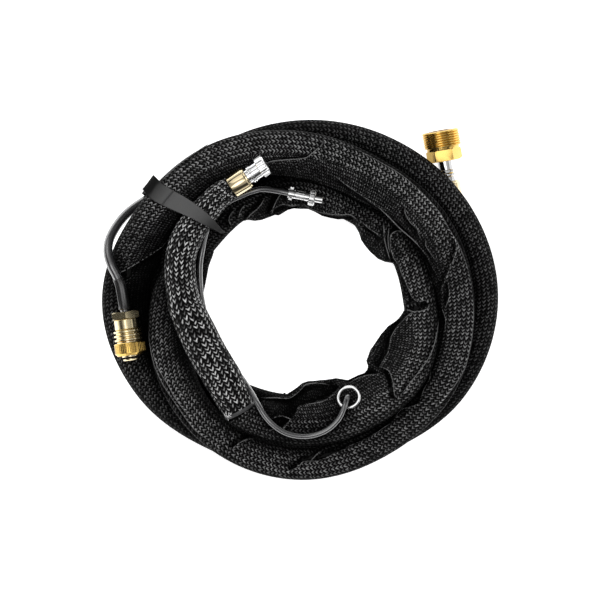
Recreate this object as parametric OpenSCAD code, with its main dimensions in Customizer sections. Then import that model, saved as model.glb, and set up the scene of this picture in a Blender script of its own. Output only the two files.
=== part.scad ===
// Coiled hose assembly of a modular TIG torch: a woven cover over a power hose, a gas hose
// and a control cable, with its four end fittings and a hook-and-loop tie.
// Millimetres, +Z up, origin on the floor under the middle of the coil.

/* [Coil] */
// Length of the coil, its widest measure across
coil_len = 436; // [436:2:480]

/* [Woven cover] */
// Height of the flattened cover
cover_h = 28; // [27:0.5:30]
// Width of the cover on the outer side of its hoses
cover_outer_w = 18; // [17.5:0.5:18.5]
// Wall of the cover
cover_wall = 1.5; // [1:0.1:1.6]
// Radius of the power hose inside the cover
power_r = 9; // [7:0.5:9]
// Radius of the gas hose
gas_r = 5.2; // [4:0.2:5.2]
// Radius of the control cable
control_r = 3.2; // [2:0.1:3.4]

/* [Torch end] */
// Radius of the coarse braided hose where it enters the cover
braid_r = 18.5; // [16:0.5:18.5]
// Width of the band round the seam
band_w = 5; // [3:0.5:8]
// Thickness of the band
band_t = 1.2; // [0.8:0.1:2]
// Outer radius of the torch ferrule
torch_ferrule_r = 12.8; // [12.4:0.1:14]
// Length of both crimped ferrules
ferrule_len = 21.5; // [18:0.5:26]
// Radius of the smooth skirt of the coupling nut
nut_skirt_r = 9.7; // [9.2:0.1:10.4]
// Radius over the splines of the coupling nut
nut_spline_r = 11.9; // [11:0.1:13]
// Number of splines
nut_splines = 24; // [16:1:32]
// Bore of the coupling nut that the torch body screws into
nut_bore_r = 8.05; // [7.4:0.05:8.4]
// Depth of that bore
nut_bore_len = 9; // [7:0.5:14]

/* [Eyelet] */
// Inner radius of the eyelet
eyelet_bore_r = 10; // [8:0.5:10.5]
// Width of the eyelet flange beyond its bore
eyelet_flange_w = 3.5; // [2:0.1:4.5]
// Thickness of the eyelet flange
eyelet_flange_t = 1.6; // [1:0.1:2.4]
// Wall of the eyelet barrel
eyelet_barrel_t = 0.8; // [0.5:0.1:1.2]

/* [Control plug] */
// Radius of the plug body
plug_body_r = 4.7; // [4.5:0.1:5.4]
// Length of the plug body
plug_body_len = 15; // [12:0.5:20]
// Radius of the plug coupling ring
plug_ring_r = 8.9; // [8:0.1:9]
// Length of the plug coupling ring
plug_ring_len = 6.7; // [5:0.1:9]
// Radius of the plug barrel
plug_barrel_r = 4.1; // [4:0.05:4.3]
// Free length of the plug barrel in front of its ring
plug_barrel_len = 8.6; // [6:0.2:12]

/* [Gas coupling] */
// Radius over the corners of the hexagonal back nut
back_nut_r = 17; // [15:0.1:17.2]
// Length of the back nut
back_nut_len = 8; // [6:0.5:12]
// Radius of the split collar
collar_r = 13.6; // [12:0.1:15]
// Length of the split collar
collar_len = 11.2; // [8:0.2:16]
// Radius over the grip ridges
ridge_r = 15.8; // [14.5:0.1:17]
// Spacing of the grip ridges
ridge_pitch = 4.6; // [3.5:0.1:6]
// Number of grip ridges
ridge_count = 3; // [2:1:5]
// Radius of the knurled ring
knurl_r = 17.2; // [16:0.1:17.3]
// Length of the knurled ring
knurl_len = 14; // [12:0.5:18]
// Radius of the nose
nose_r = 10.2; // [9:0.1:11]
// Bore through the gas coupling
gas_bore_r = 4.5; // [3:0.1:5]
// Radius of the heat-shrink sleeve at its coupling end
shrink_r = 7; // [6.2:0.1:8]
// Length of the heat-shrink sleeve
shrink_len = 34; // [24:1:34]

/* [Machine end] */
// Outer radius of the machine ferrule
machine_ferrule_r = 12.1; // [11:0.1:12.6]
// Radius over the corners of the union hexagon
union_hex_r = 19.4; // [18:0.1:20.4]
// Length of the union hexagon
union_hex_len = 13.4; // [10:0.2:18]
// Radius over the union thread
thread_r = 20.6; // [19:0.1:20.6]
// Pitch of the union thread
thread_pitch = 2.6; // [1.8:0.02:3]
// Number of thread crests
thread_crests = 7; // [5:1:8]
// Bore of the union
union_bore_r = 13; // [12:0.1:15]
// Length of the machine nipple outside its ferrule
nipple_len = 22.8; // [18:0.2:28]

/* [Tie] */
// Width of the hook-and-loop tie
tie_w = 19; // [12:1:22]
// Thickness of the tie
tie_t = 1.5; // [0.8:0.1:1.5]

/* [Hidden] */

run_gap = 0.06;      // radial clearance where one metal piece turns on another
seat_gap = 0.1;      // clearance between pieces that stay put
soft_gap = 0.3;      // clearance round soft pieces
barb = 0.6;          // step of a hose barb
lip = 0.8;           // small chamfer
hose_insert = 0.465 * ferrule_len; // depth to which a hose end enters its ferrule
hose_gap = 0.3;      // space between a hose end and the nipple tail

// ---- stations of the coil, one every 30 degrees from the seam of the torch end ----
first_angle = 240;
station_step = 30;
ring_step = 15;
last_angle = 1440;
section_sides = 12;
// distance of the hoses from the middle of the coil
reach = [
    138, 142, 144, 146, 132, 128, 120, 126, 126, 128, 146, 162,
    174, 180, 178, 180, 174, 169, 161, 168, 180, 188, 200, 190,
    174, 172, 175, 192, 200, 196, 187, 180, 174, 163, 146, 140,
    128, 124, 126, 137, 148];
// height of the hoses above the floor, in heights of the cover
layer = [
    2.29, 2.11, 2.14, 2.14, 1.68, 1.36, 1.00, 0.72, 1.07, 1.64, 1.57, 1.50,
    1.54, 1.54, 1.54, 1.53, 1.41, 2.50, 1.93, 1.57, 1.96, 2.21, 0.48, 0.48,
    0.48, 0.48, 0.48, 0.48, 0.54, 1.71, 1.00, 0.48, 0.93, 0.93, 0.48, 0.48,
    0.48, 0.48, 0.48, 0.48, 0.48];
// width of the cover on the inner side of its hoses, widest where it lies slack
slack = [
    20, 40, 42, 44, 26, 24, 24, 24, 24, 22, 38, 26,
    20, 20, 20, 22, 20, 24, 28, 20, 22, 30, 28, 22,
    20, 20, 20, 20, 20, 20, 20, 20, 20, 20, 20, 20,
    20, 20, 20, 20, 20];
snug_w = 20;         // inner width of the cover where it is tight
cavity_w = 30;       // the cover is pressed flat beyond this width
bed = 0.48;          // height of the hoses where the cover lies on the floor, in heights of the cover
lift = cover_h / 28;     // the free leads rise and fall with the height of the cover
spread = coil_len / 436; // and lie wider in a wider coil
function lifted(route) = [for (p = route) [p.x * spread, p.y * spread, p.z * lift]];

function pick(list, i) = list[max(0, min(len(list) - 1, i))];
function ease(p0, p1, p2, p3, f) =
    p1 + 0.5 * f * (p2 - p0 + f * (2 * p0 - 5 * p1 + 4 * p2 - p3 + f * (3 * (p1 - p2) + p3 - p0)));
function along(list, a) =
    let (x = (a - first_angle) / station_step, i = floor(x))
    ease(pick(list, i - 1), pick(list, i), pick(list, i + 1), pick(list, i + 2), x - i);
function core_r(a) = spread * along(reach, a);
function core_z(a) = max(bed, along(layer, a)) * cover_h;

// half section of the cover at one angle: sideways and upward distance from its hoses
function section_point(a, t, trim) =
    let (c = cos(t) / cos(180 / section_sides), s = sin(t) / cos(180 / section_sides),
         w = along(slack, a), inner_w = (trim > 0 ? min(w, cavity_w) : w) - trim,
         flat = 1 + max(0, w - snug_w) / snug_w, h = cover_h / 2 - trim)
    c > 0 ? [(cover_outer_w - trim) * c, h * s]
          : [inner_w * c, h * sign(s) * (c < -0.5 ? pow(abs(s), flat) : abs(s))];
function at_coil(a, u, v) = [(core_r(a) + u) * cos(a), (core_r(a) + u) * sin(a), core_z(a) + v];
function cover_ring(a, trim) =
    [for (k = [0:section_sides - 1])
        let (p = section_point(a, (k + 0.5) * 360 / section_sides, trim), q = at_coil(a, p.x, p.y))
        [q.x, q.y, max(trim, q.z)]];
function round_ring(a, u, v, r, sides) =
    [for (k = [0:sides - 1]) at_coil(a, u + r * cos(360 * k / sides), v + r * sin(360 * k / sides))];
function coil_angles(start, stop) = [for (a = [start:ring_step:stop]) a];

// ---- solid from rings of points; the rings run against the right-hand rule of travel ----
module skin(rings) {
    n = len(rings[0]);
    m = len(rings);
    polyhedron(
        points = [for (r = rings) for (p = r) p],
        faces = concat(
            [[for (k = [n - 1:-1:0]) k]],
            [[for (k = [0:n - 1]) (m - 1) * n + k]],
            [for (i = [0:m - 2]) for (k = [0:n - 1])
                let (a = i * n + k, b = i * n + (k + 1) % n) [a, b + n, a + n]],
            [for (i = [0:m - 2]) for (k = [0:n - 1])
                let (a = i * n + k, b = i * n + (k + 1) % n) [a, b, b + n]]));
}

// ---- free hoses: rings square to the route at its own points ----
function unit(v) = v / norm(v);
function travel(p, i) = unit(p[min(i + 1, len(p) - 1)] - p[max(i - 1, 0)]);
function route_ring(p, i, r, sides) =
    let (t = travel(p, i), side = unit(cross(t, [0, 0, 1])), up = cross(side, t))
    [for (k = [0:sides - 1]) p[i] + r * (cos(360 * k / sides) * side + sin(360 * k / sides) * up)];
module hose(p, r, sides) {
    skin([for (i = [0:len(p) - 1]) route_ring(p, i, is_list(r) ? r[i] : r, sides)]);
}

// ---- where the four fittings lie: start of their axis, heading and rise ----
torch_at = [spread * -75.4, spread * 123.8, 2.42 * cover_h];
torch_heading = 34;
torch_rise = 7;
plug_lift = 1.2;
plug_angle = 450;
plug_at = [spread * -13.2, spread * 117.7, core_z(plug_angle) + cover_h / 2 + plug_ring_r + plug_lift];
plug_heading = -11;
gas_at = [spread * -192.5, spread * -12.7, (bed + 0.5) * cover_h + max(knurl_r, back_nut_r) + soft_gap];
gas_heading = -81.9;
machine_at = [spread * 167.4, spread * 109.4, 19 * lift];
machine_heading = 100;
machine_rise = 2.2;
function heading(az, el = 0) = [cos(az) * cos(el), sin(az) * cos(el), sin(el)];
module placed(at, az, el = 0) { translate(at) rotate([0, 90 - el, az]) children(); }

// ---- routes, chosen by hand ----
seam_at = at_coil(first_angle, 0, 0);
seam_dir = [-sin(first_angle), cos(first_angle), 0];
seam_straight = 20;
torch_hose_route = concat(
    [seam_at, seam_at - seam_straight * seam_dir],
    lifted([[-97, -88, 70], [-111, -62, 74], [-121, -38, 77], [-129, -12, 80], [-132, 14, 80],
     [-131, 36, 80], [-127, 58, 79], [-119, 78, 77], [-106, 96, 74]]),
    [torch_at - 16 * heading(torch_heading, torch_rise), torch_at - 0.3 * heading(torch_heading, torch_rise),
     torch_at + 0.1 * heading(torch_heading, torch_rise),
     torch_at + hose_insert * heading(torch_heading, torch_rise)]);
torch_hose_r = [braid_r, braid_r, 19, 19, 19, 19, 18.5, 18, 17, 16, 14, 12.8, 12.4, 9.3, 9.3];

eyelet_angle = 296.6;
eyelet_u = -23.7;
eyelet_lo = section_point(eyelet_angle, 135, 0);
eyelet_hi = section_point(eyelet_angle, 105, 0);
eyelet_tilt = atan2(eyelet_hi.y - eyelet_lo.y, eyelet_hi.x - eyelet_lo.x);
eyelet_v = eyelet_lo.y + (eyelet_u - eyelet_lo.x) * tan(eyelet_tilt);
eyelet_at = at_coil(eyelet_angle, eyelet_u, eyelet_v);
eyelet_up = [-sin(eyelet_tilt) * cos(eyelet_angle), -sin(eyelet_tilt) * sin(eyelet_angle), cos(eyelet_tilt)];
cable_leave = 305;
cable_u = -5;
cable_v = 7;
// angle, distance and height at which the cable ducks under the cover towards the eyelet
cable_duck = [[cable_leave - 4, -12, 4.5], [eyelet_angle + 2.2, -17, 4]];
control_route = concat(
    [at_coil(cable_leave, cable_u, cable_v),
     at_coil(cable_leave, cable_u, cable_v) + 4 * [sin(cable_leave), -cos(cable_leave), 0]],
    [for (d = cable_duck) at_coil(d.x, d.y, d.z)], [eyelet_at + [0, 0.5, -2.5], eyelet_at + [-1.5, 0, 5]],
    lifted([[49.5, -115.5, 80], [42.5, -131, 80], [28, -144, 78], [6, -150, 77],
     [-16.5, -146, 79], [-35, -132, 82], [-46, -115.5, 82], [-54, -104, 76], [-63, -90, 62],
     [-75, -72, 53], [-88, -52, 52], [-100, -30, 54], [-106, -10, 58], [-109.5, 12, 61],
     [-110, 40, 63], [-107, 60, 65], [-100.5, 70.5, 65], [-90, 84, 63], [-78, 97, 56],
     [-66, 107, 50], [-54, 115, 49], [-42, 120, 49]]),
    [plug_at - 10 * heading(plug_heading), plug_at + 2 * heading(plug_heading)]);

gas_u = -9;
gas_v = -5;
power_u = 5.5;
power_v = -2;
gas_route = concat(
    [at_coil(last_angle, gas_u, gas_v), at_coil(last_angle, gas_u, gas_v) + [0, 12, 0]],
    lifted([[141, 38, 6], [134, 74, 6], [109, 108, 6], [74, 133, 6], [36, 148, 6], [-4, 151.5, 6],
     [-42, 144, 6], [-74, 128, 6], [-100, 116, 6], [-128, 116, 6.4], [-154, 117, 9.5], [-173, 110, 19],
     [-193.5, 97.5, 27.5], [-209.5, 78, 37], [-213, 55, 46.5], [-209, 37, 51]]),
    [gas_at - (shrink_len + 4) * heading(gas_heading), gas_at - 12 * heading(gas_heading),
     gas_at + (back_nut_len - 1) * heading(gas_heading)]);
machine_route = concat(
    [at_coil(last_angle, power_u, power_v), at_coil(last_angle, power_u, power_v) + [0, 14, 0]],
    lifted([[157, 35, 10], [163, 56, 10], [168.5, 76, 14.5]]),
    [machine_at - 16 * heading(machine_heading, machine_rise),
     machine_at + hose_insert * heading(machine_heading, machine_rise)]);

// ---- least space between two turns of the cover, on the points of its rings ----
function flat_ring(a) = [for (p = cover_ring(a, 0)) [norm([p.x, p.y]), p.z]];
function from_edge(p, a, b) =
    let (d = b - a, t = max(0, min(1, (p - a) * d / (d * d)))) norm(p - a - t * d);
function ring_space(p, q) =
    min([for (v = p) for (k = [0:len(q) - 1]) from_edge(v, q[k], q[(k + 1) % len(q)])]);
echo(least_gap_mm = min([for (a = coil_angles(first_angle, last_angle - 360))
    for (b = [a + 360:360:last_angle])
        min(ring_space(flat_ring(a), flat_ring(b)), ring_space(flat_ring(b), flat_ring(a)))]));

// ---- the cover and what runs inside it ----
module woven_cover() {
    color("#1b1b1c")
    difference() {
        skin([for (a = coil_angles(first_angle, last_angle)) cover_ring(a, 0)]);
        skin([for (a = coil_angles(first_angle, last_angle)) cover_ring(a, cover_wall)]);
        translate(eyelet_at) rotate([0, 0, eyelet_angle]) rotate([0, -eyelet_tilt, 0])
            translate([0, 0, -eyelet_depth]) cylinder(h = 2 * eyelet_depth, r = eyelet_hole_r, $fn = 24);
    }
}
eyelet_depth = 7;
eyelet_hole_r = eyelet_bore_r + eyelet_barrel_t + soft_gap;

module power_hose() {
    color("#262626")
    skin([for (a = coil_angles(first_angle, last_angle)) round_ring(a, power_u, power_v, power_r, 8)]);
}

module gas_hose() {
    color("#202020")
    skin([for (a = coil_angles(first_angle, last_angle)) round_ring(a, gas_u, gas_v, gas_r, 6)]);
}

module control_cable_inner() {
    color("#303030")
    skin([for (a = concat([cable_leave], coil_angles(ceil(cable_leave / ring_step) * ring_step, last_angle)))
        round_ring(a, cable_u, cable_v, control_r, 6)]);
}

end_plug_t = 8;
module machine_end_plug() {
    r = core_r(last_angle);
    z = core_z(last_angle);
    color("#2a2a2a")
    translate([0, end_plug_t, 0]) rotate([90, 0, 0]) difference() {
        linear_extrude(end_plug_t)
            polygon([for (k = [0:section_sides - 1])
                let (p = section_point(last_angle, (k + 0.5) * 360 / section_sides, 0))
                [r + p.x, max(0, z + p.y)]]);
        translate([r + power_u, z + power_v, -1]) cylinder(h = end_plug_t + 2, r = power_r + soft_gap, $fn = 48);
        translate([r + gas_u, z + gas_v, -1]) cylinder(h = end_plug_t + 2, r = gas_r + soft_gap, $fn = 48);
    }
}

// ---- torch end ----
module torch_hose_braid() { color("#1e1e20") hose(torch_hose_route, torch_hose_r, 12); }

module torch_end_band() {
    color("#3a3a3c")
    placed(seam_at - (band_w + 1) * seam_dir, first_angle + 90)
        rotate_extrude($fn = 64) translate([braid_r + soft_gap, 0]) square([band_t, band_w]);
}

nipple_tail_r = 9.3;
neck_r = 8.6;
flange_r = 10.6;
journal_r = 6.5;
torch_bore_r = 3.5;
neck_len = 3.8;
flange_len = 1.6;
groove_len = 0.8;
nut_start = ferrule_len + neck_len + 2 * flange_len + groove_len + seat_gap;
nut_wall = 5.4;
head_len = 2;
seal_t = 1;
bore_start = nut_start + nut_wall + head_len + seal_t + 4 * seat_gap;
nut_end = bore_start + nut_bore_len;
spline_len = 9.9;

module ferrule(r, wall_bore) {
    rotate_extrude($fn = 72) polygon([
        [nipple_tail_r + 0.3, 0], [r - lip, 0], [r, lip], [r, ferrule_len - 2.4], [r - 0.7, ferrule_len - 1.6],
        [r - 0.7, ferrule_len], [wall_bore, ferrule_len], [wall_bore, ferrule_len - 1.4],
        [nipple_tail_r + 0.3, ferrule_len - 1.4]]);
}

module torch_ferrule() {
    color("#c9a964") placed(torch_at, torch_heading, torch_rise) ferrule(torch_ferrule_r, neck_r - 1 + seat_gap);
}

module torch_nipple() {
    tail = hose_insert + hose_gap;
    step = (ferrule_len - 1.6 - tail) / 3.4;
    f0 = ferrule_len + neck_len;
    head = nut_start + nut_wall + seat_gap;
    color("#c8c8ca")
    placed(torch_at, torch_heading, torch_rise) rotate_extrude($fn = 72) polygon([
        [torch_bore_r, tail], [nipple_tail_r - barb, tail], [nipple_tail_r, tail + step],
        [nipple_tail_r - barb, tail + step], [nipple_tail_r, tail + 2 * step], [nipple_tail_r - barb, tail + 2 * step],
        [nipple_tail_r, tail + 3 * step], [nipple_tail_r, ferrule_len - 1.6], [neck_r - 1, ferrule_len - 1.6],
        [neck_r - 1, ferrule_len + seat_gap], [neck_r, ferrule_len + seat_gap], [neck_r, f0],
        [flange_r, f0], [flange_r, f0 + flange_len], [flange_r - 1, f0 + flange_len],
        [flange_r - 1, f0 + flange_len + groove_len], [flange_r, f0 + flange_len + groove_len],
        [flange_r, f0 + 2 * flange_len + groove_len], [journal_r, f0 + 2 * flange_len + groove_len],
        [journal_r, head], [nut_bore_r - 0.5, head], [nut_bore_r - 0.5, head + head_len],
        [torch_bore_r, head + head_len]]);
}

module torch_seal() {
    start = nut_start + nut_wall + head_len + 2 * seat_gap;
    color("#111111")
    placed(torch_at, torch_heading, torch_rise) rotate_extrude($fn = 64)
        translate([torch_bore_r + 0.3, start]) square([nut_bore_r - torch_bore_r - 1, seal_t]);
}

module torch_coupling_nut() {
    color("#d4d4d6")
    placed(torch_at, torch_heading, torch_rise) difference() {
        union() {
            translate([0, 0, nut_start]) cylinder(h = nut_end - nut_start, r = nut_skirt_r, $fn = 96);
            intersection() {
                translate([0, 0, nut_end - spline_len]) cylinder(h = spline_len, r = nut_spline_r, $fn = 96);
                rotate_extrude($fn = 72) polygon([
                    [0, nut_end - spline_len], [nut_spline_r - lip, nut_end - spline_len],
                    [nut_spline_r, nut_end - spline_len + lip], [nut_spline_r, nut_end - 1.6],
                    [nut_spline_r - 1.6, nut_end], [0, nut_end]]);
            }
        }
        translate([0, 0, nut_start - 1]) cylinder(h = nut_wall + 2, r = journal_r + run_gap, $fn = 72);
        translate([0, 0, nut_start + nut_wall]) cylinder(h = nut_end, r = nut_bore_r - 0.3, $fn = 72);
        translate([0, 0, bore_start]) cylinder(h = nut_end, r = nut_bore_r, $fn = 72);
        for (k = [0:nut_splines - 1]) rotate(360 * k / nut_splines)
            translate([nut_spline_r - 0.1, 0, nut_end - spline_len - 1])
                rotate(45) translate([-0.6, -0.6, 0]) cube([1.2, 1.2, spline_len + 2]);
    }
}

// ---- eyelet and control cable ----
module eyelet() {
    b = eyelet_bore_r;
    g = 0.8;
    color("#cfcfd1")
    translate(eyelet_at) rotate([0, 0, eyelet_angle]) rotate([0, -eyelet_tilt, 0])
        rotate_extrude($fn = 72) polygon([
            [b, -4.5], [b + eyelet_barrel_t, -4.5], [b + eyelet_barrel_t, g],
            [b + eyelet_flange_w, g], [b + eyelet_flange_w, g + eyelet_flange_t / 2],
            [b + eyelet_flange_w - eyelet_flange_t / 2, g + eyelet_flange_t],
            [b + eyelet_flange_t / 2, g + eyelet_flange_t], [b, g + eyelet_flange_t / 2]]);
}

module control_cable() { color("#0f0f10") hose(control_route, control_r, 8); }

saddle_len = 7;
body_start = saddle_len + 0.7;
body_end = body_start + plug_body_len;
ring_start = body_end + 0.8;
ring_end = ring_start + plug_ring_len;
barrel_end = ring_end + plug_barrel_len;
saddle_in = control_r + 0.25;
saddle_out = saddle_in + 1.4;
ear_y = saddle_out + 1.1;
screw_r = 0.8;
ring_wall = 1.6;
plug_journal_r = plug_barrel_r - 0.2;

module plug_body() {
    color("#cfcfd1")
    placed(plug_at, plug_heading) difference() {
        union() {
            translate([0, 0, body_start]) cylinder(h = plug_body_len, r = plug_body_r, $fn = 72);
            translate([0, 0, 0.3]) cylinder(h = saddle_len + 1, r = saddle_out, $fn = 72);
            for (s = [-1, 1]) translate([0, s * ear_y - 1.3, 1.8]) cube([2.2, 2.6, 3.6]);
        }
        translate([-2 * saddle_out, -2 * saddle_out, -1]) cube([2 * saddle_out, 4 * saddle_out, saddle_len + 1.4]);
        translate([0, 0, -1]) cylinder(h = saddle_len + 2, r = saddle_in, $fn = 72);
        translate([0, 0, body_start - 1]) cylinder(h = plug_body_len + 2, r = plug_barrel_r - 0.5, $fn = 72);
        translate([0, 0, body_end - 4]) cylinder(h = 5, r = plug_journal_r + 0.1, $fn = 72);
        for (k = [0:7]) rotate(45 * k + 22.5) translate([plug_body_r + 0.2, 0, body_start + 1.5])
            cylinder(h = plug_body_len - 5.5, r = 0.6, $fn = 24);
        for (s = [-1, 1]) translate([-1, s * ear_y, 3.6]) rotate([0, 90, 0])
            cylinder(h = 5, r = screw_r + 0.05, $fn = 32);
    }
}

module plug_saddle() {
    color("#c4c4c6")
    placed(plug_at, plug_heading) difference() {
        union() {
            translate([0, 0, 0.6]) cylinder(h = saddle_len - 0.6, r = saddle_out, $fn = 72);
            for (s = [-1, 1]) translate([-1.8, s * ear_y - 1.3, 1.8]) cube([1.7, 2.6, 3.6]);
        }
        translate([-0.1, -2 * saddle_out, -1]) cube([2 * saddle_out, 4 * saddle_out, saddle_len + 2]);
        translate([0, 0, -1]) cylinder(h = saddle_len + 2, r = saddle_in, $fn = 72);
        for (s = [-1, 1]) translate([-4, s * ear_y, 3.6]) rotate([0, 90, 0])
            cylinder(h = 6, r = screw_r + 0.05, $fn = 32);
    }
}

module plug_saddle_screws() {
    color("#dcdcde")
    placed(plug_at, plug_heading) for (s = [-1, 1]) translate([0, s * ear_y, 3.6]) difference() {
        union() {
            translate([-2.9, 0, 0]) rotate([0, 90, 0]) cylinder(h = 1, r = 1.35, $fn = 36);
            translate([-2, 0, 0]) rotate([0, 90, 0]) cylinder(h = 4, r = screw_r, $fn = 36);
        }
        translate([-3, -2, -0.2]) cube([0.5, 4, 0.4]);
    }
}

module plug_barrel() {
    color("#d2d2d4")
    placed(plug_at, plug_heading) difference() {
        rotate_extrude($fn = 72) polygon([
            [plug_barrel_r - 0.8, body_end - 3.8], [plug_journal_r, body_end - 3.8],
            [plug_journal_r, ring_start + ring_wall + 0.1], [plug_journal_r - 0.2, ring_start + ring_wall + 0.1],
            [plug_journal_r - 0.2, ring_start + ring_wall + 0.9], [plug_journal_r, ring_start + ring_wall + 0.9],
            [plug_journal_r, ring_end + 0.2], [plug_barrel_r, ring_end + 0.2],
            [plug_barrel_r, barrel_end - 0.4], [plug_barrel_r - 0.4, barrel_end],
            [plug_barrel_r - 0.8, barrel_end]]);
        translate([-0.9, -2 * plug_barrel_r, barrel_end - 2.2]) cube([1.8, 2 * plug_barrel_r, 3]);
    }
}

module plug_insert() {
    color("#141414")
    placed(plug_at, plug_heading) difference() {
        translate([0, 0, body_end - 3]) cylinder(h = barrel_end - body_end + 1, r = plug_barrel_r - 0.85, $fn = 48);
        for (k = [0:4]) rotate(72 * k) translate([1.9, 0, body_end - 4])
            cylinder(h = barrel_end, r = 0.5, $fn = 24);
    }
}

module plug_contacts() {
    color("#d8b25a")
    placed(plug_at, plug_heading) for (k = [0:4]) rotate(72 * k) translate([1.9, 0, body_end - 3.5])
        cylinder(h = barrel_end - body_end, r = 0.45, $fn = 24);
}

module plug_snap_ring() {
    color("#8a8a8c")
    placed(plug_at, plug_heading) rotate_extrude(angle = 330, $fn = 48)
        translate([plug_journal_r - 0.15, ring_start + ring_wall + 0.2]) square([1.3, 0.6]);
}

module plug_coupling_ring() {
    color("#d6d6d8")
    placed(plug_at, plug_heading) difference() {
        rotate_extrude($fn = 72) polygon([
            [plug_journal_r + run_gap, ring_start], [plug_ring_r - 0.6, ring_start],
            [plug_ring_r, ring_start + 0.6], [plug_ring_r, ring_end - 0.6], [plug_ring_r - 0.6, ring_end],
            [plug_ring_r - 1.7, ring_end], [plug_ring_r - 1.7, ring_start + ring_wall],
            [plug_journal_r + run_gap, ring_start + ring_wall]]);
        for (k = [0:23]) rotate(15 * k) translate([plug_ring_r + 0.35, 0, ring_start - 1])
            cylinder(h = plug_ring_len + 2, r = 0.6, $fn = 16);
    }
}

// ---- gas lead and its coupling ----
module gas_lead() { color("#0e0e0f") hose(gas_route, gas_r, 8); }

module gas_heat_shrink() {
    r = gas_r + soft_gap;
    color("#181818")
    placed(gas_at, gas_heading) difference() {
        rotate_extrude($fn = 64) polygon([
            [r, -shrink_len], [r + 1, -shrink_len], [shrink_r - 0.2, -0.55 * shrink_len],
            [shrink_r, -1.8], [shrink_r - 0.6, -1], [r, -1]]);
        translate([0, 0, -shrink_len - 1]) cylinder(h = shrink_len + 2, r = r, $fn = 48);
    }
}

collar_start = back_nut_len + seat_gap + 0.2;
grip_start = collar_start + collar_len + seat_gap;
grip_len = ridge_count * ridge_pitch + 0.6;
knurl_start = grip_start + grip_len + 0.3;
knurl_end = knurl_start + knurl_len;
hub_r = 12;
stem_r = 8.9;
clip_start = knurl_end - 1.4;
nose_len = 5.8;

module gas_back_nut() {
    color("#cdb57e")
    placed(gas_at, gas_heading) difference() {
        intersection() {
            cylinder(h = back_nut_len, r = back_nut_r, $fn = 6);
            rotate_extrude($fn = 72) polygon([
                [0, 0], [back_nut_r - 2, 0], [back_nut_r, 1.2], [back_nut_r, back_nut_len - 1],
                [back_nut_r - 1.6, back_nut_len], [0, back_nut_len]]);
        }
        translate([0, 0, -1]) cylinder(h = back_nut_len + 2, r = gas_r + 0.4, $fn = 64);
    }
}

module gas_split_collar() {
    color("#cdb57e")
    placed(gas_at, gas_heading) difference() {
        rotate_extrude($fn = 72) polygon([
            [stem_r + seat_gap, collar_start], [collar_r - 0.6, collar_start], [collar_r, collar_start + 0.6],
            [collar_r, collar_start + collar_len - 0.6], [collar_r - 0.6, collar_start + collar_len],
            [stem_r + seat_gap, collar_start + collar_len]]);
        translate([-2 * collar_r, -0.5, collar_start - 1]) cube([2 * collar_r - stem_r / 2, 1, collar_len + 2]);
    }
}

module gas_coupling_body() {
    color("#c8ae72")
    placed(gas_at, gas_heading) rotate_extrude($fn = 72) polygon(concat(
        [[gas_bore_r, collar_start], [stem_r, collar_start], [stem_r, grip_start], [ridge_r - 2.6, grip_start]],
        [for (i = [0:ridge_count - 1]) each [
            [ridge_r - 2.4, grip_start + i * ridge_pitch + 0.3],
            [ridge_r, grip_start + i * ridge_pitch + 1.3],
            [ridge_r, grip_start + i * ridge_pitch + ridge_pitch - 1.6],
            [ridge_r - 2.4, grip_start + i * ridge_pitch + ridge_pitch - 0.6]]],
        [[ridge_r - 2.4, knurl_start - 0.2], [hub_r, knurl_start - 0.2], [hub_r, clip_start],
         [nose_r - 0.6, clip_start], [nose_r - 0.6, knurl_end], [nose_r, knurl_end + 0.2],
         [nose_r, knurl_end + 1.6], [nose_r - 1.8, knurl_end + 2], [nose_r - 1.8, knurl_end + 3.6],
         [nose_r - 0.8, knurl_end + 3.9], [nose_r - 0.8, knurl_end + nose_len - 0.8],
         [nose_r - 1.8, knurl_end + nose_len], [gas_bore_r, knurl_end + nose_len]]));
}

module gas_knurled_ring() {
    color("#c9a24a")
    placed(gas_at, gas_heading) difference() {
        rotate_extrude($fn = 96) polygon([
            [hub_r + run_gap, knurl_start], [knurl_r - 0.8, knurl_start], [knurl_r, knurl_start + 0.8],
            [knurl_r, knurl_end - 2.6], [knurl_r - 2.4, knurl_end], [hub_r + 2, knurl_end],
            [hub_r + 2, clip_start - 0.2], [hub_r + run_gap, clip_start - 0.2]]);
        for (k = [0:47]) rotate(7.5 * k) translate([knurl_r + 0.25, 0, knurl_start + 1.6])
            cylinder(h = knurl_len - 5, r = 0.55, $fn = 16);
    }
}

module gas_snap_ring() {
    color("#7c7c7e")
    placed(gas_at, gas_heading) rotate_extrude(angle = 320, $fn = 64)
        translate([nose_r - 0.6 + 0.05, clip_start + 0.15]) square([hub_r + 1.6 - nose_r, 0.9]);
}

module gas_nose_seal() {
    color("#111111")
    placed(gas_at, gas_heading) rotate_extrude($fn = 64)
        translate([nose_r - 0.95, knurl_end + 2.8]) circle(r = 0.75, $fn = 24);
}

// ---- machine end ----
module machine_hose() {
    color("#18181a")
    hose(machine_route, power_r, 12);
}

module at_machine() { placed(machine_at, machine_heading, machine_rise) children(); }

m_neck_r = 9;
m_sleeve_r = 9.9;
bead_r = 11.3;
union_start = ferrule_len + nipple_len + 0.1;
union_wall = 5.6;
groove_w = 2.2;
m_head_len = 3.6;
m_seal_t = 1.4;
union_bore_start = union_start + union_wall + m_head_len + m_seal_t + 4 * seat_gap;
thread_start = union_start + union_hex_len + groove_w;
union_end = thread_start + thread_crests * thread_pitch;
step_at = ferrule_len + 0.55 * nipple_len;

module machine_ferrule() { color("#c9a964") at_machine() ferrule(machine_ferrule_r, m_sleeve_r - 1 + seat_gap); }

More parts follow.
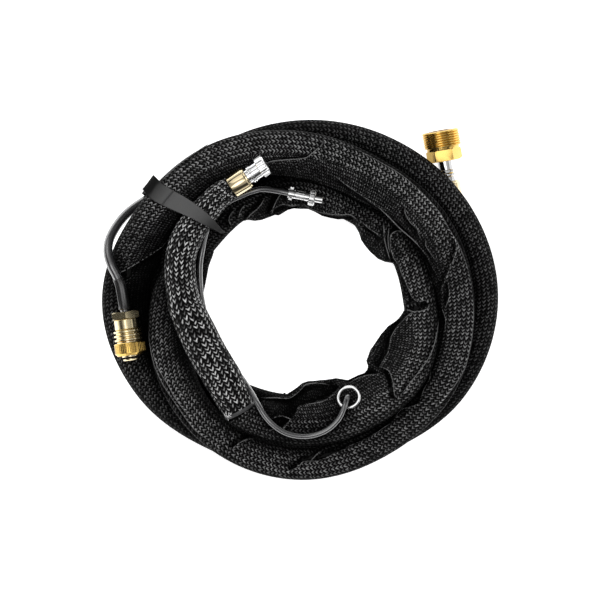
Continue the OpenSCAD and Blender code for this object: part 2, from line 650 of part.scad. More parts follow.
module machine_nipple() {
    tail = hose_insert + hose_gap;
    step = (ferrule_len - 1.6 - tail) / 3.4;
    head = union_start + union_wall + seat_gap;
    color("#cfcfd1")
    at_machine() rotate_extrude($fn = 72) polygon([
        [torch_bore_r, tail], [nipple_tail_r - barb, tail], [nipple_tail_r, tail + step],
        [nipple_tail_r - barb, tail + step], [nipple_tail_r, tail + 2 * step], [nipple_tail_r - barb, tail + 2 * step],
        [nipple_tail_r, tail + 3 * step], [nipple_tail_r, ferrule_len - 1.6], [m_sleeve_r - 1, ferrule_len - 1.6],
        [m_sleeve_r - 1, ferrule_len + seat_gap], [m_sleeve_r, ferrule_len + seat_gap],
        [m_sleeve_r, ferrule_len + 5], [bead_r, ferrule_len + 6.4], [bead_r, ferrule_len + 8.4],
        [m_sleeve_r, ferrule_len + 9.8], [m_sleeve_r, step_at], [m_neck_r, step_at + 0.4],
        [m_neck_r, head], [union_bore_r - 0.7, head], [union_bore_r - 0.7, head + m_head_len],
        [torch_bore_r, head + m_head_len]]);
}

module machine_seal() {
    start = union_start + union_wall + m_head_len + 2 * seat_gap;
    color("#121212")
    at_machine() rotate_extrude($fn = 64)
        translate([torch_bore_r + 1.5, start]) square([union_bore_r - torch_bore_r - 2.4, m_seal_t]);
}

module machine_union() {
    crest = 1.1;
    root = thread_r - 1.2;
    color("#cda24a")
    at_machine() difference() {
        union() {
            intersection() {
                translate([0, 0, union_start]) rotate(30)
                    cylinder(h = union_hex_len, r = union_hex_r, $fn = 6);
                rotate_extrude($fn = 72) polygon([
                    [0, union_start], [union_hex_r - 2.6, union_start], [union_hex_r, union_start + 1.6],
                    [union_hex_r, union_start + union_hex_len - 1.6], [union_hex_r - 2.6, union_start + union_hex_len],
                    [0, union_start + union_hex_len]]);
            }
            rotate_extrude($fn = 96) polygon(concat(
                [[0, union_start + union_hex_len - 1], [root - 1.4, union_start + union_hex_len - 1],
                 [root - 1.4, thread_start - 0.4], [root, thread_start]],
                [for (i = [0:thread_crests - 1]) each [
                    [thread_r, thread_start + i * thread_pitch + 0.4],
                    [thread_r, thread_start + i * thread_pitch + 0.4 + crest],
                    [root, thread_start + (i + 1) * thread_pitch - 0.4]]],
                [[root, union_end], [0, union_end]]));
        }
        translate([0, 0, union_start - 1]) cylinder(h = union_wall + 2, r = m_neck_r + run_gap, $fn = 72);
        translate([0, 0, union_start + union_wall]) cylinder(h = union_end, r = union_bore_r - 0.4, $fn = 72);
        translate([0, 0, union_bore_start]) cylinder(h = union_end, r = union_bore_r, $fn = 72);
    }
}

// ---- hook-and-loop tie, a closed band in the upright plane through the middle of the coil ----
tie_angle = 143.5;
tie_inside = tie_heights([
    [102, tie_t], [102, 56], [112, 74], [126, 89.3], [134, 93.8], [148, 93.8], [160, 85.3], [190, 80],
    [202, 80], [209, 73], [213, 62], [213, tie_t]]);
function tie_heights(p) = [for (q = p) [q.x * spread, q.y > tie_t ? q.y * lift : q.y]];
// corner points moved outward by t, the turns of the outline being clockwise
function outward(p, t) = [for (i = [0:len(p) - 1])
    let (a = unit(p[i] - pick_round(p, i - 1)), b = unit(pick_round(p, i + 1) - p[i]),
         n = unit([-a.y - b.y, a.x + b.x]), k = n * [-a.y, a.x]) p[i] + t / k * n];
function pick_round(p, i) = p[(i + len(p)) % len(p)];

module tie_strap() {
    color("#3a3a3c")
    rotate([90, 0, tie_angle]) translate([0, 0, -tie_w / 2]) linear_extrude(tie_w) difference() {
        polygon(outward(tie_inside, tie_t));
        polygon(tie_inside);
    }
}

module tie_strap_end() {
    seat = [for (i = [7:11]) tie_inside[i]];
    top = outward(seat, tie_t + 0.2);
    far = outward(seat, 2 * tie_t + 0.2);
    pts = concat([for (i = [1:3]) top[i]], [for (i = [3:-1:1]) far[i]]);
    color("#2c2c2e")
    rotate([90, 0, tie_angle]) translate([0, 0, -tie_w / 2]) linear_extrude(tie_w) polygon(pts);
}

woven_cover();
power_hose();
gas_hose();
control_cable_inner();
machine_end_plug();
torch_hose_braid();
torch_end_band();
torch_ferrule();
torch_nipple();
torch_seal();
torch_coupling_nut();
eyelet();
control_cable();
plug_body();
plug_saddle();
plug_saddle_screws();
plug_barrel();
plug_insert();
plug_contacts();
plug_snap_ring();
plug_coupling_ring();
gas_lead();
gas_heat_shrink();
gas_back_nut();
gas_split_collar();
gas_coupling_body();
gas_knurled_ring();
gas_snap_ring();
gas_nose_seal();
machine_hose();
machine_ferrule();
machine_nipple();
machine_seal();
machine_union();
tie_strap();
tie_strap_end();
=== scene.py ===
import math
import bmesh
import bpy
import numpy as np
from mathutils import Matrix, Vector, noise


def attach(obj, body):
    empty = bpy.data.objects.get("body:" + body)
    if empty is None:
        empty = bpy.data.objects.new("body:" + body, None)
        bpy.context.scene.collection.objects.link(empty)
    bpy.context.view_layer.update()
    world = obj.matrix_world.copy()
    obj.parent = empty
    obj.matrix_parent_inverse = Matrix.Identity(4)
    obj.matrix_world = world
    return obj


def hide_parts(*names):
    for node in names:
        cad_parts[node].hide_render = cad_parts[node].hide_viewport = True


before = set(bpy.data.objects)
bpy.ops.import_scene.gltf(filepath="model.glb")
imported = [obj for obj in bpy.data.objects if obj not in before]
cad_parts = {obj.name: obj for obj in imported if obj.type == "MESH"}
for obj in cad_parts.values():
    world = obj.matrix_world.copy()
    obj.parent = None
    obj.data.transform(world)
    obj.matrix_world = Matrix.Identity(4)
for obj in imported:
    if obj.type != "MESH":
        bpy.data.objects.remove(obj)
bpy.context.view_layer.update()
mm = 0.001
rootBody = "hose_pack"


def newObject(name, data):
    thing = bpy.data.objects.new(name, data)
    bpy.context.scene.collection.objects.link(thing)
    return thing


# camera straight above the coil
cameraSettings = {"height": 1.6, "width": 0.66}


def addCamera():
    data = bpy.data.cameras.new("viewCamera")
    data.type = "ORTHO"
    data.ortho_scale = cameraSettings["width"]
    camera = newObject("viewCamera", data)
    camera.location = (0, 0, cameraSettings["height"])
    bpy.context.scene.camera = camera


addCamera()
print("camera placed")


def pick(values, i):
    return values[max(0, min(len(values) - 1, i))]


def ease(p0, p1, p2, p3, f):
    bend = 2 * p0 - 5 * p1 + 4 * p2 - p3 + f * (3 * (p1 - p2) + p3 - p0)
    return p1 + 0.5 * f * (p2 - p0 + f * bend)


def along(values, x):
    i = math.floor(x)
    return ease(pick(values, i - 1), pick(values, i), pick(values, i + 1), pick(values, i + 2), x - i)


def lookup(table, x):
    # straight-line reading of a table of (position, value) pairs
    if x <= table[0][0]:
        return table[0][1]
    for (x0, y0), (x1, y1) in zip(table, table[1:]):
        if x <= x1:
            return y0 + (y1 - y0) * (x - x0) / (x1 - x0)
    return table[-1][1]


def smoothStep(x):
    x = max(0.0, min(1.0, x))
    return x * x * (3 - 2 * x)


def heading(azimuth, rise=0):
    a, e = math.radians(azimuth), math.radians(rise)
    return Vector((math.cos(a) * math.cos(e), math.sin(a) * math.cos(e), math.sin(e)))


def smoothRoute(points, step):
    # even run of points on a curve through the given ones, in millimetres
    pts = [Vector(p) for p in points]
    fine = []
    for i in range(len(pts) - 1):
        p0, p1, p2, p3 = pts[max(0, i - 1)], pts[i], pts[i + 1], pts[min(len(pts) - 1, i + 2)]
        n = max(2, int((p2 - p1).length / 0.8))
        t1 = max(1e-3, (p1 - p0).length) ** 0.5
        t2 = t1 + (p2 - p1).length ** 0.5
        t3 = t2 + max(1e-3, (p3 - p2).length) ** 0.5
        for k in range(n):
            t = t1 + (t2 - t1) * k / n
            a1 = p0.lerp(p1, t / t1)
            a2 = p1.lerp(p2, (t - t1) / (t2 - t1))
            a3 = p2.lerp(p3, (t - t2) / (t3 - t2))
            b1 = a1.lerp(a2, t / t2)
            b2 = a2.lerp(a3, (t - t1) / (t3 - t1))
            fine.append(b1.lerp(b2, (t - t1) / (t2 - t1)))
    fine.append(pts[-1])
    gone = walkedTo(fine)
    count = max(2, round(gone[-1] / step))
    out, j = [fine[0]], 0
    for k in range(1, count):
        want = gone[-1] * k / count
        while gone[j + 1] < want:
            j += 1
        out.append(fine[j].lerp(fine[j + 1], (want - gone[j]) / (fine[j + 1] - fine[j]).length))
    out.append(fine[-1])
    return out


def walkedTo(route):
    # distance along a route to each of its points
    walked = [0.0]
    for a, b in zip(route, route[1:]):
        walked.append(walked[-1] + (Vector(b) - Vector(a)).length)
    return walked


def routeLength(route):
    return walkedTo(route)[-1]


def wayAt(route, i):
    # direction of travel at one point of a route
    return (route[min(i + 1, len(route) - 1)] - route[max(i - 1, 0)]).normalized()


def tubeFaces(first, count, sides):
    # closed skin over a number of rings, whose points are numbered from the first one on
    faces = []
    for i in range(count - 1):
        for k in range(sides):
            a, b = first + i * sides + k, first + i * sides + (k + 1) % sides
            faces.append((a, b, b + sides, a + sides))
    faces.append(tuple(first + k for k in range(sides - 1, -1, -1)))
    faces.append(tuple(first + (count - 1) * sides + k for k in range(sides)))
    return faces


def faceOutward(mesh):
    bm = bmesh.new()
    bm.from_mesh(mesh)
    bmesh.ops.recalc_face_normals(bm, faces=bm.faces)
    bm.to_mesh(mesh)
    bm.free()


def addValues(mesh, name, values):
    mesh.attributes.new(name, "FLOAT", "POINT").data.foreach_set("value", values)


def meshFromRings(name, rings, uvs=None):
    # rings of points in millimetres become one closed skin
    n = len(rings[0])
    mesh = bpy.data.meshes.new(name)
    corners = [tuple(Vector(p) * mm) for ring in rings for p in ring]
    mesh.from_pydata(corners, [], tubeFaces(0, len(rings), n))
    mesh.update()
    if uvs:
        layer = mesh.uv_layers.new(name="weave")
        for poly in mesh.polygons:
            columns = [mesh.loops[li].vertex_index % n for li in poly.loop_indices]
            wrap = max(columns) == n - 1 and min(columns) == 0
            for li in poly.loop_indices:
                i, k = divmod(mesh.loops[li].vertex_index, n)
                layer.data[li].uv = uvs(i, n if wrap and k == 0 else k)
    faceOutward(mesh)
    for poly in mesh.polygons:
        poly.use_smooth = len(poly.vertices) == 4
    return newObject(name, mesh)


def ringAcross(centre, travel, wide, high, sides):
    side = travel.cross(Vector((0, 0, 1))).normalized()
    up = side.cross(travel).normalized()
    turn = 2 * math.pi / sides
    return [centre + wide * math.cos(turn * k) * side + high * math.sin(turn * k) * up for k in range(sides)]


def hoseMesh(name, route, size, sides, rows=None):
    # size gives half the width and half the height for each share of the length
    walked = walkedTo(route)
    shares = [gone / walked[-1] for gone in walked]
    rings = [ringAcross(p, wayAt(route, i), *size(shares[i]), sides) for i, p in enumerate(route)]
    uvs = (lambda i, k: (walked[i], k / sides * rows)) if rows else None
    return meshFromRings(name, rings, uvs)


def curvePiece(name, radius, resolution, routes):
    # a round cord along each route, in millimetres
    data = bpy.data.curves.new(name, "CURVE")
    data.dimensions = "3D"
    data.bevel_depth = radius * mm
    data.bevel_resolution = resolution
    data.use_fill_caps = True
    for route in routes:
        spline = data.splines.new("POLY")
        spline.points.add(len(route) - 1)
        for point, p in zip(spline.points, route):
            point.co = (*(p * mm), 1)
    return newObject(name, data)


def wear(piece, material):
    piece.data.materials.clear()
    piece.data.materials.append(material)


def dress(piece, material, slot, *nodes):
    # a soft piece of the root body, which may stand for nodes
    wear(piece, material)
    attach(piece, rootBody)
    if nodes:
        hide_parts(*nodes)
    return piece


class Wire:
    def __init__(self, tree, socket=None):
        self.tree, self.socket = tree, socket

    def make(self, kind, inputs, output=0, **settings):
        node = self.tree.nodes.new(kind)
        for key, value in settings.items():
            setattr(node, key, value)
        for key, value in inputs.items():
            if isinstance(value, Wire):
                self.tree.links.new(value.socket, node.inputs[key])
            else:
                node.inputs[key].default_value = value
        return Wire(self.tree, node.outputs[output])

    def maths(self, operation, *values):
        return self.make("ShaderNodeMath", dict(enumerate(values)), operation=operation)

    def noise(self, scale, detail=2.0):
        return self.make("ShaderNodeTexNoise", {"Scale": scale, "Detail": detail})

    def ramp(self, stops, value):
        # stops: place along the ramp, and a grey or a colour
        wire = self.make("ShaderNodeValToRGB", {"Fac": value})
        elements = wire.socket.node.color_ramp.elements
        while len(elements) < len(stops):
            elements.new(0.5)
        for element, (place, grey) in zip(elements, stops):
            element.position = place
            element.color = (*grey, 1) if isinstance(grey, tuple) else (grey, grey, grey, 1)
        return wire

    def attribute(self, name):
        return self.make("ShaderNodeAttribute", {}, 2, attribute_name=name)

    def mixed(self, blend, a, b):
        return self.make("ShaderNodeMix", {0: 1.0, 6: a, 7: b}, 2, data_type="RGBA", blend_type=blend)

    def __add__(self, other):
        return self.maths("ADD", self, other)

    def __sub__(self, other):
        return self.maths("SUBTRACT", self, other)

    def __mul__(self, other):
        return self.maths("MULTIPLY", self, other)

    def __pow__(self, other):
        return self.maths("POWER", self, other)


def newMaterial(name, colour=(0.5, 0.5, 0.5), roughness=0.5, metallic=0.0, **sockets):
    material = bpy.data.materials.new(name)
    material.use_nodes = True
    shader = material.node_tree.nodes["Principled BSDF"]
    shader.inputs["Base Color"].default_value = (*colour, 1)
    shader.inputs["Roughness"].default_value = roughness
    shader.inputs["Metallic"].default_value = metallic
    for key, value in sockets.items():
        shader.inputs[key.replace("_", " ")].default_value = value
    return material, Wire(material.node_tree), shader


def join(wire, shader, socket):
    wire.tree.links.new(wire.socket, shader.inputs[socket])


def bumpInto(w, shader, height, distance, strength=1.0):
    bump = w.make("ShaderNodeBump", {"Strength": strength, "Distance": distance, "Height": height})
    join(bump, shader, "Normal")


def stitches(w, x, y, settings, waver):
    # stitches that lean left and right in turn, row by row: how proud each place is, with one lean painted
    # darker as shade, and a grey for each
    row = w.maths("FLOOR", y)
    f = y - row
    pair = w.maths("FLOOR", y * 0.5)
    lean = w.maths("MODULO", w.maths("ABSOLUTE", row), 2.0) * -2.0 + 1.0
    q = x * (1 / settings["pitch"]) + lean * (f - 0.5) * settings["slant"] + pair * settings["offset"] + waver
    count = w.maths("FLOOR", q)
    stitch = w.maths("SINE", (q - count) * math.pi)
    band = w.maths("SINE", (y * 0.5 - pair) * math.pi)
    proud = (stitch ** settings["thin"]) * (band ** settings["short"])
    cell = w.make("ShaderNodeCombineXYZ", {0: count, 1: row, 2: 0.0})
    grey = w.make("ShaderNodeTexWhiteNoise", {"Vector": cell}, noise_dimensions="2D")
    sidePaintedLight = settings["leanPaintedLight"] / 2
    return proud * (lean * sidePaintedLight + (1 - sidePaintedLight)), grey


def braidMaterial(name, settings):
    material, w, shader = newMaterial(name, roughness=settings["roughness"],
                                      Specular_IOR_Level=settings["specular"], Coat_Roughness=0.3)
    uv = w.make("ShaderNodeUVMap", {}, uv_map="weave")
    x = w.make("ShaderNodeSeparateXYZ", {0: uv}, 0)
    y = w.make("ShaderNodeSeparateXYZ", {0: uv}, 1)
    patch = w.make("ShaderNodeTexNoise", {"Vector": uv, "Scale": settings["waver"], "Detail": 2.0},
                   noise_dimensions="2D")
    waver = (patch - 0.5) * settings["unrest"]
    proud, grey = stitches(w, x, y, settings, waver)
    if settings.get("fine"):
        fineProud, fineGrey = stitches(w, x * settings["fine"], y * settings["fine"], settings, waver)
        part = w.ramp([(0.45, 0.0), (0.6, 1.0)], w.attribute("fine"))
        proud = proud + (fineProud * 0.8 - proud) * part
        grey = grey + (fineGrey - grey) * part
    height = proud * (grey * settings["spread"] + (1 - settings["spread"] / 2))
    shade = w.ramp([(0.3, 0.75), (0.7, 1.0)], w.noise(settings["grain"], 3.0))
    # colour by stitch height: the weave pattern, with painted highlight on proud stitches and painted shade
    # in the gaps between them, varied by random grain
    colour = w.mixed("MULTIPLY", w.ramp(settings["stops"], height), shade)
    # the per-point painted light multiplies the colour: shade in crevices and folds, highlight along fold
    # lips
    if settings.get("tone"):
        colour = w.mixed("MULTIPLY", colour, w.ramp([(0.0, 0.0), (1.0, 1.5)], w.attribute("tone")))
    join(colour, shader, "Base Color")
    join(w.ramp([(0.45, 0.0), (0.8, settings["coat"])], height), shader, "Coat Weight")
    bumpInto(w, shader, height, settings["depth"], settings["strength"])
    return material


# finishes of the fittings
def turnedMetal(name, settings):
    colour, roughness = settings["colour"], settings["roughness"]
    material, w, shader = newMaterial(name, metallic=1.0)
    join(w.ramp([(0.3, roughness * 0.75), (0.7, roughness * 1.3)], w.noise(260.0, 3.0)), shader, "Roughness")
    worn = tuple(c * 0.85 for c in colour)
    join(w.ramp([(0.4, worn), (0.6, colour)], w.noise(60.0)), shader, "Base Color")
    return material


def plain(name, settings):
    material, w, shader = newMaterial(name, settings["colour"], settings["roughness"],
                                      Specular_IOR_Level=settings["specular"])
    bumpInto(w, shader, w.noise(400.0), 0.0001, 0.4)
    return material


def paintedLightCloth(name, settings):
    material, w, shader = newMaterial(name, roughness=settings["roughness"],
                                      Specular_IOR_Level=settings["specular"])
    grain = w.noise(settings["grain"])
    # base colour from the painted light attribute, varied by random grain
    tone = w.attribute("tone") * (grain * 0.7 + 0.65)
    join(w.ramp([(0.0, 0.0), (1.0, settings["light"])], tone), shader, "Base Color")
    bumpInto(w, shader, grain, settings["depth"], 0.4)
    return material


metalFinishes = {
    "brassPolished": {"colour": (0.88, 0.74, 0.47), "roughness": 0.1},
    "brassPale": {"colour": (0.95, 0.81, 0.51), "roughness": 0.2},
    "brassGolden": {"colour": (0.76, 0.5, 0.14), "roughness": 0.17},
    "nickel": {"colour": (0.9, 0.9, 0.9), "roughness": 0.12},
    "nickelSatin": {"colour": (0.85, 0.85, 0.85), "roughness": 0.18},
    "contactGold": {"colour": (0.83, 0.62, 0.28), "roughness": 0.2},
}
plainFinishes = {
    # near-black rubber for the inner hoses, seals and plugs, darker than rubber itself so that glimpses of
    # them through gaps read as painted shade
    "rubberAndGapShade": {"colour": (0.004, 0.004, 0.004), "roughness": 0.7, "specular": 0.1},
    "shrink": {"colour": (0.006, 0.006, 0.006), "roughness": 0.2, "specular": 0.9},
    "bandPlastic": {"colour": (0.03, 0.03, 0.031), "roughness": 0.4, "specular": 0.5},
}
finishes = {name: turnedMetal(name, settings) for name, settings in metalFinishes.items()}
finishes.update({name: plain(name, settings) for name, settings in plainFinishes.items()})
# the fittings by finish: each node, and its material slot
fittings = {
    "brassPolished": {"torch_ferrule": "torch_ferrule_brass", "machine_ferrule": "machine_ferrule_brass"},
    "brassPale": {"gas_back_nut": "back_nut_brass", "gas_split_collar": "collar_brass",
                  "gas_coupling_body": "coupling_brass"},
    "brassGolden": {"gas_knurled_ring": "knurled_ring_brass", "machine_union": "union_brass"},
    "nickel": {"torch_nipple": "torch_nipple_nickel", "torch_coupling_nut": "torch_nut_nickel",
               "eyelet": "eyelet_nickel", "plug_coupling_ring": "plug_ring_nickel",
               "machine_nipple": "machine_nipple_nickel"},
    "nickelSatin": {"plug_body": "plug_body_nickel", "plug_saddle": "plug_saddle_nickel",
                    "plug_saddle_screws": "plug_screw_steel", "plug_barrel": "plug_barrel_nickel",
                    "plug_snap_ring": "plug_snap_steel", "gas_snap_ring": "gas_snap_steel"},
}
# nodes that keep their own mesh
innerNodes = {
    "rubberAndGapShade": ["torch_seal", "machine_seal", "gas_nose_seal", "power_hose", "gas_hose",
                   "control_cable_inner", "machine_end_plug", "plug_insert"],
    "contactGold": ["plug_contacts"],
}
bodies = {"torch_coupling_nut": "torch_nut", "plug_coupling_ring": "plug_ring",
          "gas_knurled_ring": "gas_ring", "machine_union": "union"}
edgeRounding = {"width": 0.22, "segments": 2, "angle": 32}


def addFitting(node, finish):
    # the fitting again, with soft edges
    source = bpy.data.objects[node]
    words = ("cover_" + node if node == "eyelet" else node).split("_")
    name = words[0] + "".join(word.capitalize() for word in words[1:])
    piece = newObject(name, source.data.copy())
    piece.matrix_world = source.matrix_world
    bm = bmesh.new()
    bm.from_mesh(piece.data)
    bmesh.ops.remove_doubles(bm, verts=bm.verts, dist=0.00001)
    bmesh.ops.dissolve_limit(bm, angle_limit=0.01, verts=bm.verts, edges=bm.edges)
    bm.to_mesh(piece.data)
    bm.free()
    bpy.ops.object.select_all(action="DESELECT")
    piece.select_set(True)
    bpy.context.view_layer.objects.active = piece
    bpy.ops.object.shade_smooth_by_angle(angle=math.radians(30))
    bevel = piece.modifiers.new("softEdges", "BEVEL")
    bevel.width = edgeRounding["width"] * mm
    bevel.segments = edgeRounding["segments"]
    bevel.limit_method = "ANGLE"
    bevel.angle_limit = math.radians(edgeRounding["angle"])
    bevel.harden_normals = True
    bpy.ops.object.modifier_apply(modifier=bevel.name)
    wear(piece, finishes[finish])
    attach(piece, bodies.get(node, rootBody))
    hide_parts(node)


for finish, slots in fittings.items():
    for node, slot in slots.items():
        addFitting(node, finish)
for finish, nodes in innerNodes.items():
    for node in nodes:
        wear(bpy.data.objects[node], finishes[finish])
print("finishes given")


# the woven cover: one flattened tube that lies in three and a third turns
coverSettings = {
    "firstAngle": 240, "lastAngle": 1440, "stationStep": 30, "height": 28, "bed": 0.48,
    "outerWidth": 18, "snugWidth": 20, "nearStep": 0.8, "farStep": 1.25, "nearEnd": 640,
    # light scales the painted light, and skyPower sets how hard painted shade darkens places that see little
    # sky
    "rowWidth": 2.6, "light": 0.51, "skyPower": 3.3, "endLean": 0.5, "leanOver": 24,
    # loose cloth: the slack where it starts, over how much it grows, and how it waves and ripples
    "looseFrom": 22, "looseOver": 14, "waves": 2.2, "waveScale": (3.1, 0.05),
    "ripples": 0.7, "rippleScale": (7, 0.1),
    # how much the pressed outer edge squares the section, upward and outward
    "squareSides": 0.42, "squareReach": 0.35,
    # folds: how far they drop, how high their lips are and how bright their painted highlight is, how dark
    # their painted shade gets
    "dropGain": 1.5, "lipGain": 1.4, "lipPaintedHighlight": 0.9, "fadeShare": 0.12, "shoulder": 1.2,
    "darkestPaintedShade": 0.97, "foldPaintedShade": 1.15, "creasePaintedShade": 1.3,
    "reach": [
        138, 142, 144, 146, 132, 128, 120, 126, 126, 128, 146, 162,
        174, 180, 178, 180, 174, 169, 161, 168, 180, 188, 200, 190,
        174, 172, 175, 192, 200, 196, 187, 180, 174, 163, 146, 140,
        128, 124, 126, 137, 148],
    "layer": [
        2.29, 2.11, 2.14, 2.14, 1.68, 1.36, 1.00, 0.72, 1.07, 1.64, 1.57, 1.50,
        1.54, 1.54, 1.54, 1.53, 1.41, 2.50, 1.93, 1.57, 1.96, 2.21, 0.48, 0.48,
        0.48, 0.48, 0.48, 0.48, 0.54, 1.71, 1.00, 0.48, 0.93, 0.93, 0.48, 0.48,
        0.48, 0.48, 0.48, 0.48, 0.48],
    "slack": [
        20, 40, 42, 44, 26, 24, 24, 24, 24, 22, 38, 26,
        20, 20, 20, 26, 27, 28, 34, 34, 30, 30, 38, 34,
        28, 20, 20, 20, 20, 20, 20, 20, 20, 20, 20, 20,
        20, 20, 20, 20, 20],
    # how square the outer edge is pressed, by angle
    "squareness": [(540, 0.0), (570, 0.9), (640, 0.9), (660, 0.5), (690, 1.0), (850, 1.0), (880, 0.0)],
    # radius of the coil's open middle, by angle of the topmost turn
    "innerEdge": [
        (236, 117), (237.4, 112.3), (241.9, 112.2), (244.4, 112.2), (246.2, 108.8), (248.4, 107.6),
        (251, 108.2), (252.3, 108.5), (254.9, 105.4), (257.7, 103), (260.2, 103.8), (261.5, 104.5),
        (263.8, 101.8), (267.4, 96.9), (271.4, 91.3), (275.6, 89.5), (284, 90.7), (290.8, 93), (294.8, 94.5),
        (298, 98.4), (301, 102.6), (303.7, 103.1), (307.7, 104.3), (311.2, 106.8), (313.7, 106.6),
        (315.9, 104.2), (317.3, 98.9), (324.5, 94.6), (332.5, 95.4), (337.2, 96.6), (343.5, 100.9),
        (349, 109.8), (353.4, 114.1), (355.6, 115.8), (357.8, 114.5), (360, 113.3), (362.8, 112.3),
        (368.4, 112.3), (373.9, 114.5), (377.7, 115.5), (379.8, 113.4), (381.9, 109.1), (384.1, 102.4),
        (387.7, 96.9), (394.4, 93.4), (399.7, 93), (404.5, 94.1), (408.6, 98.2), (413.4, 101.4),
        (417.3, 101.9), (420.9, 101.9), (424.7, 97.9), (429.9, 96), (435.3, 95.5), (440.3, 98.2),
        (445, 100.5), (450, 100.1), (453.8, 100.9), (457.6, 99.9), (461.1, 97.5), (464, 95.8), (466.4, 97.5),
        (469.9, 97.1), (475.4, 97.4), (479.7, 100), (483, 105), (487.6, 108.2), (492.2, 109.8),
        (495.4, 111.2), (498.9, 113.8), (503.6, 114.8), (507.4, 116.3), (508.7, 112.1), (510.8, 108.3),
        (514.5, 107.3), (519.5, 106.9), (525, 105.9), (531, 105.8)],
}
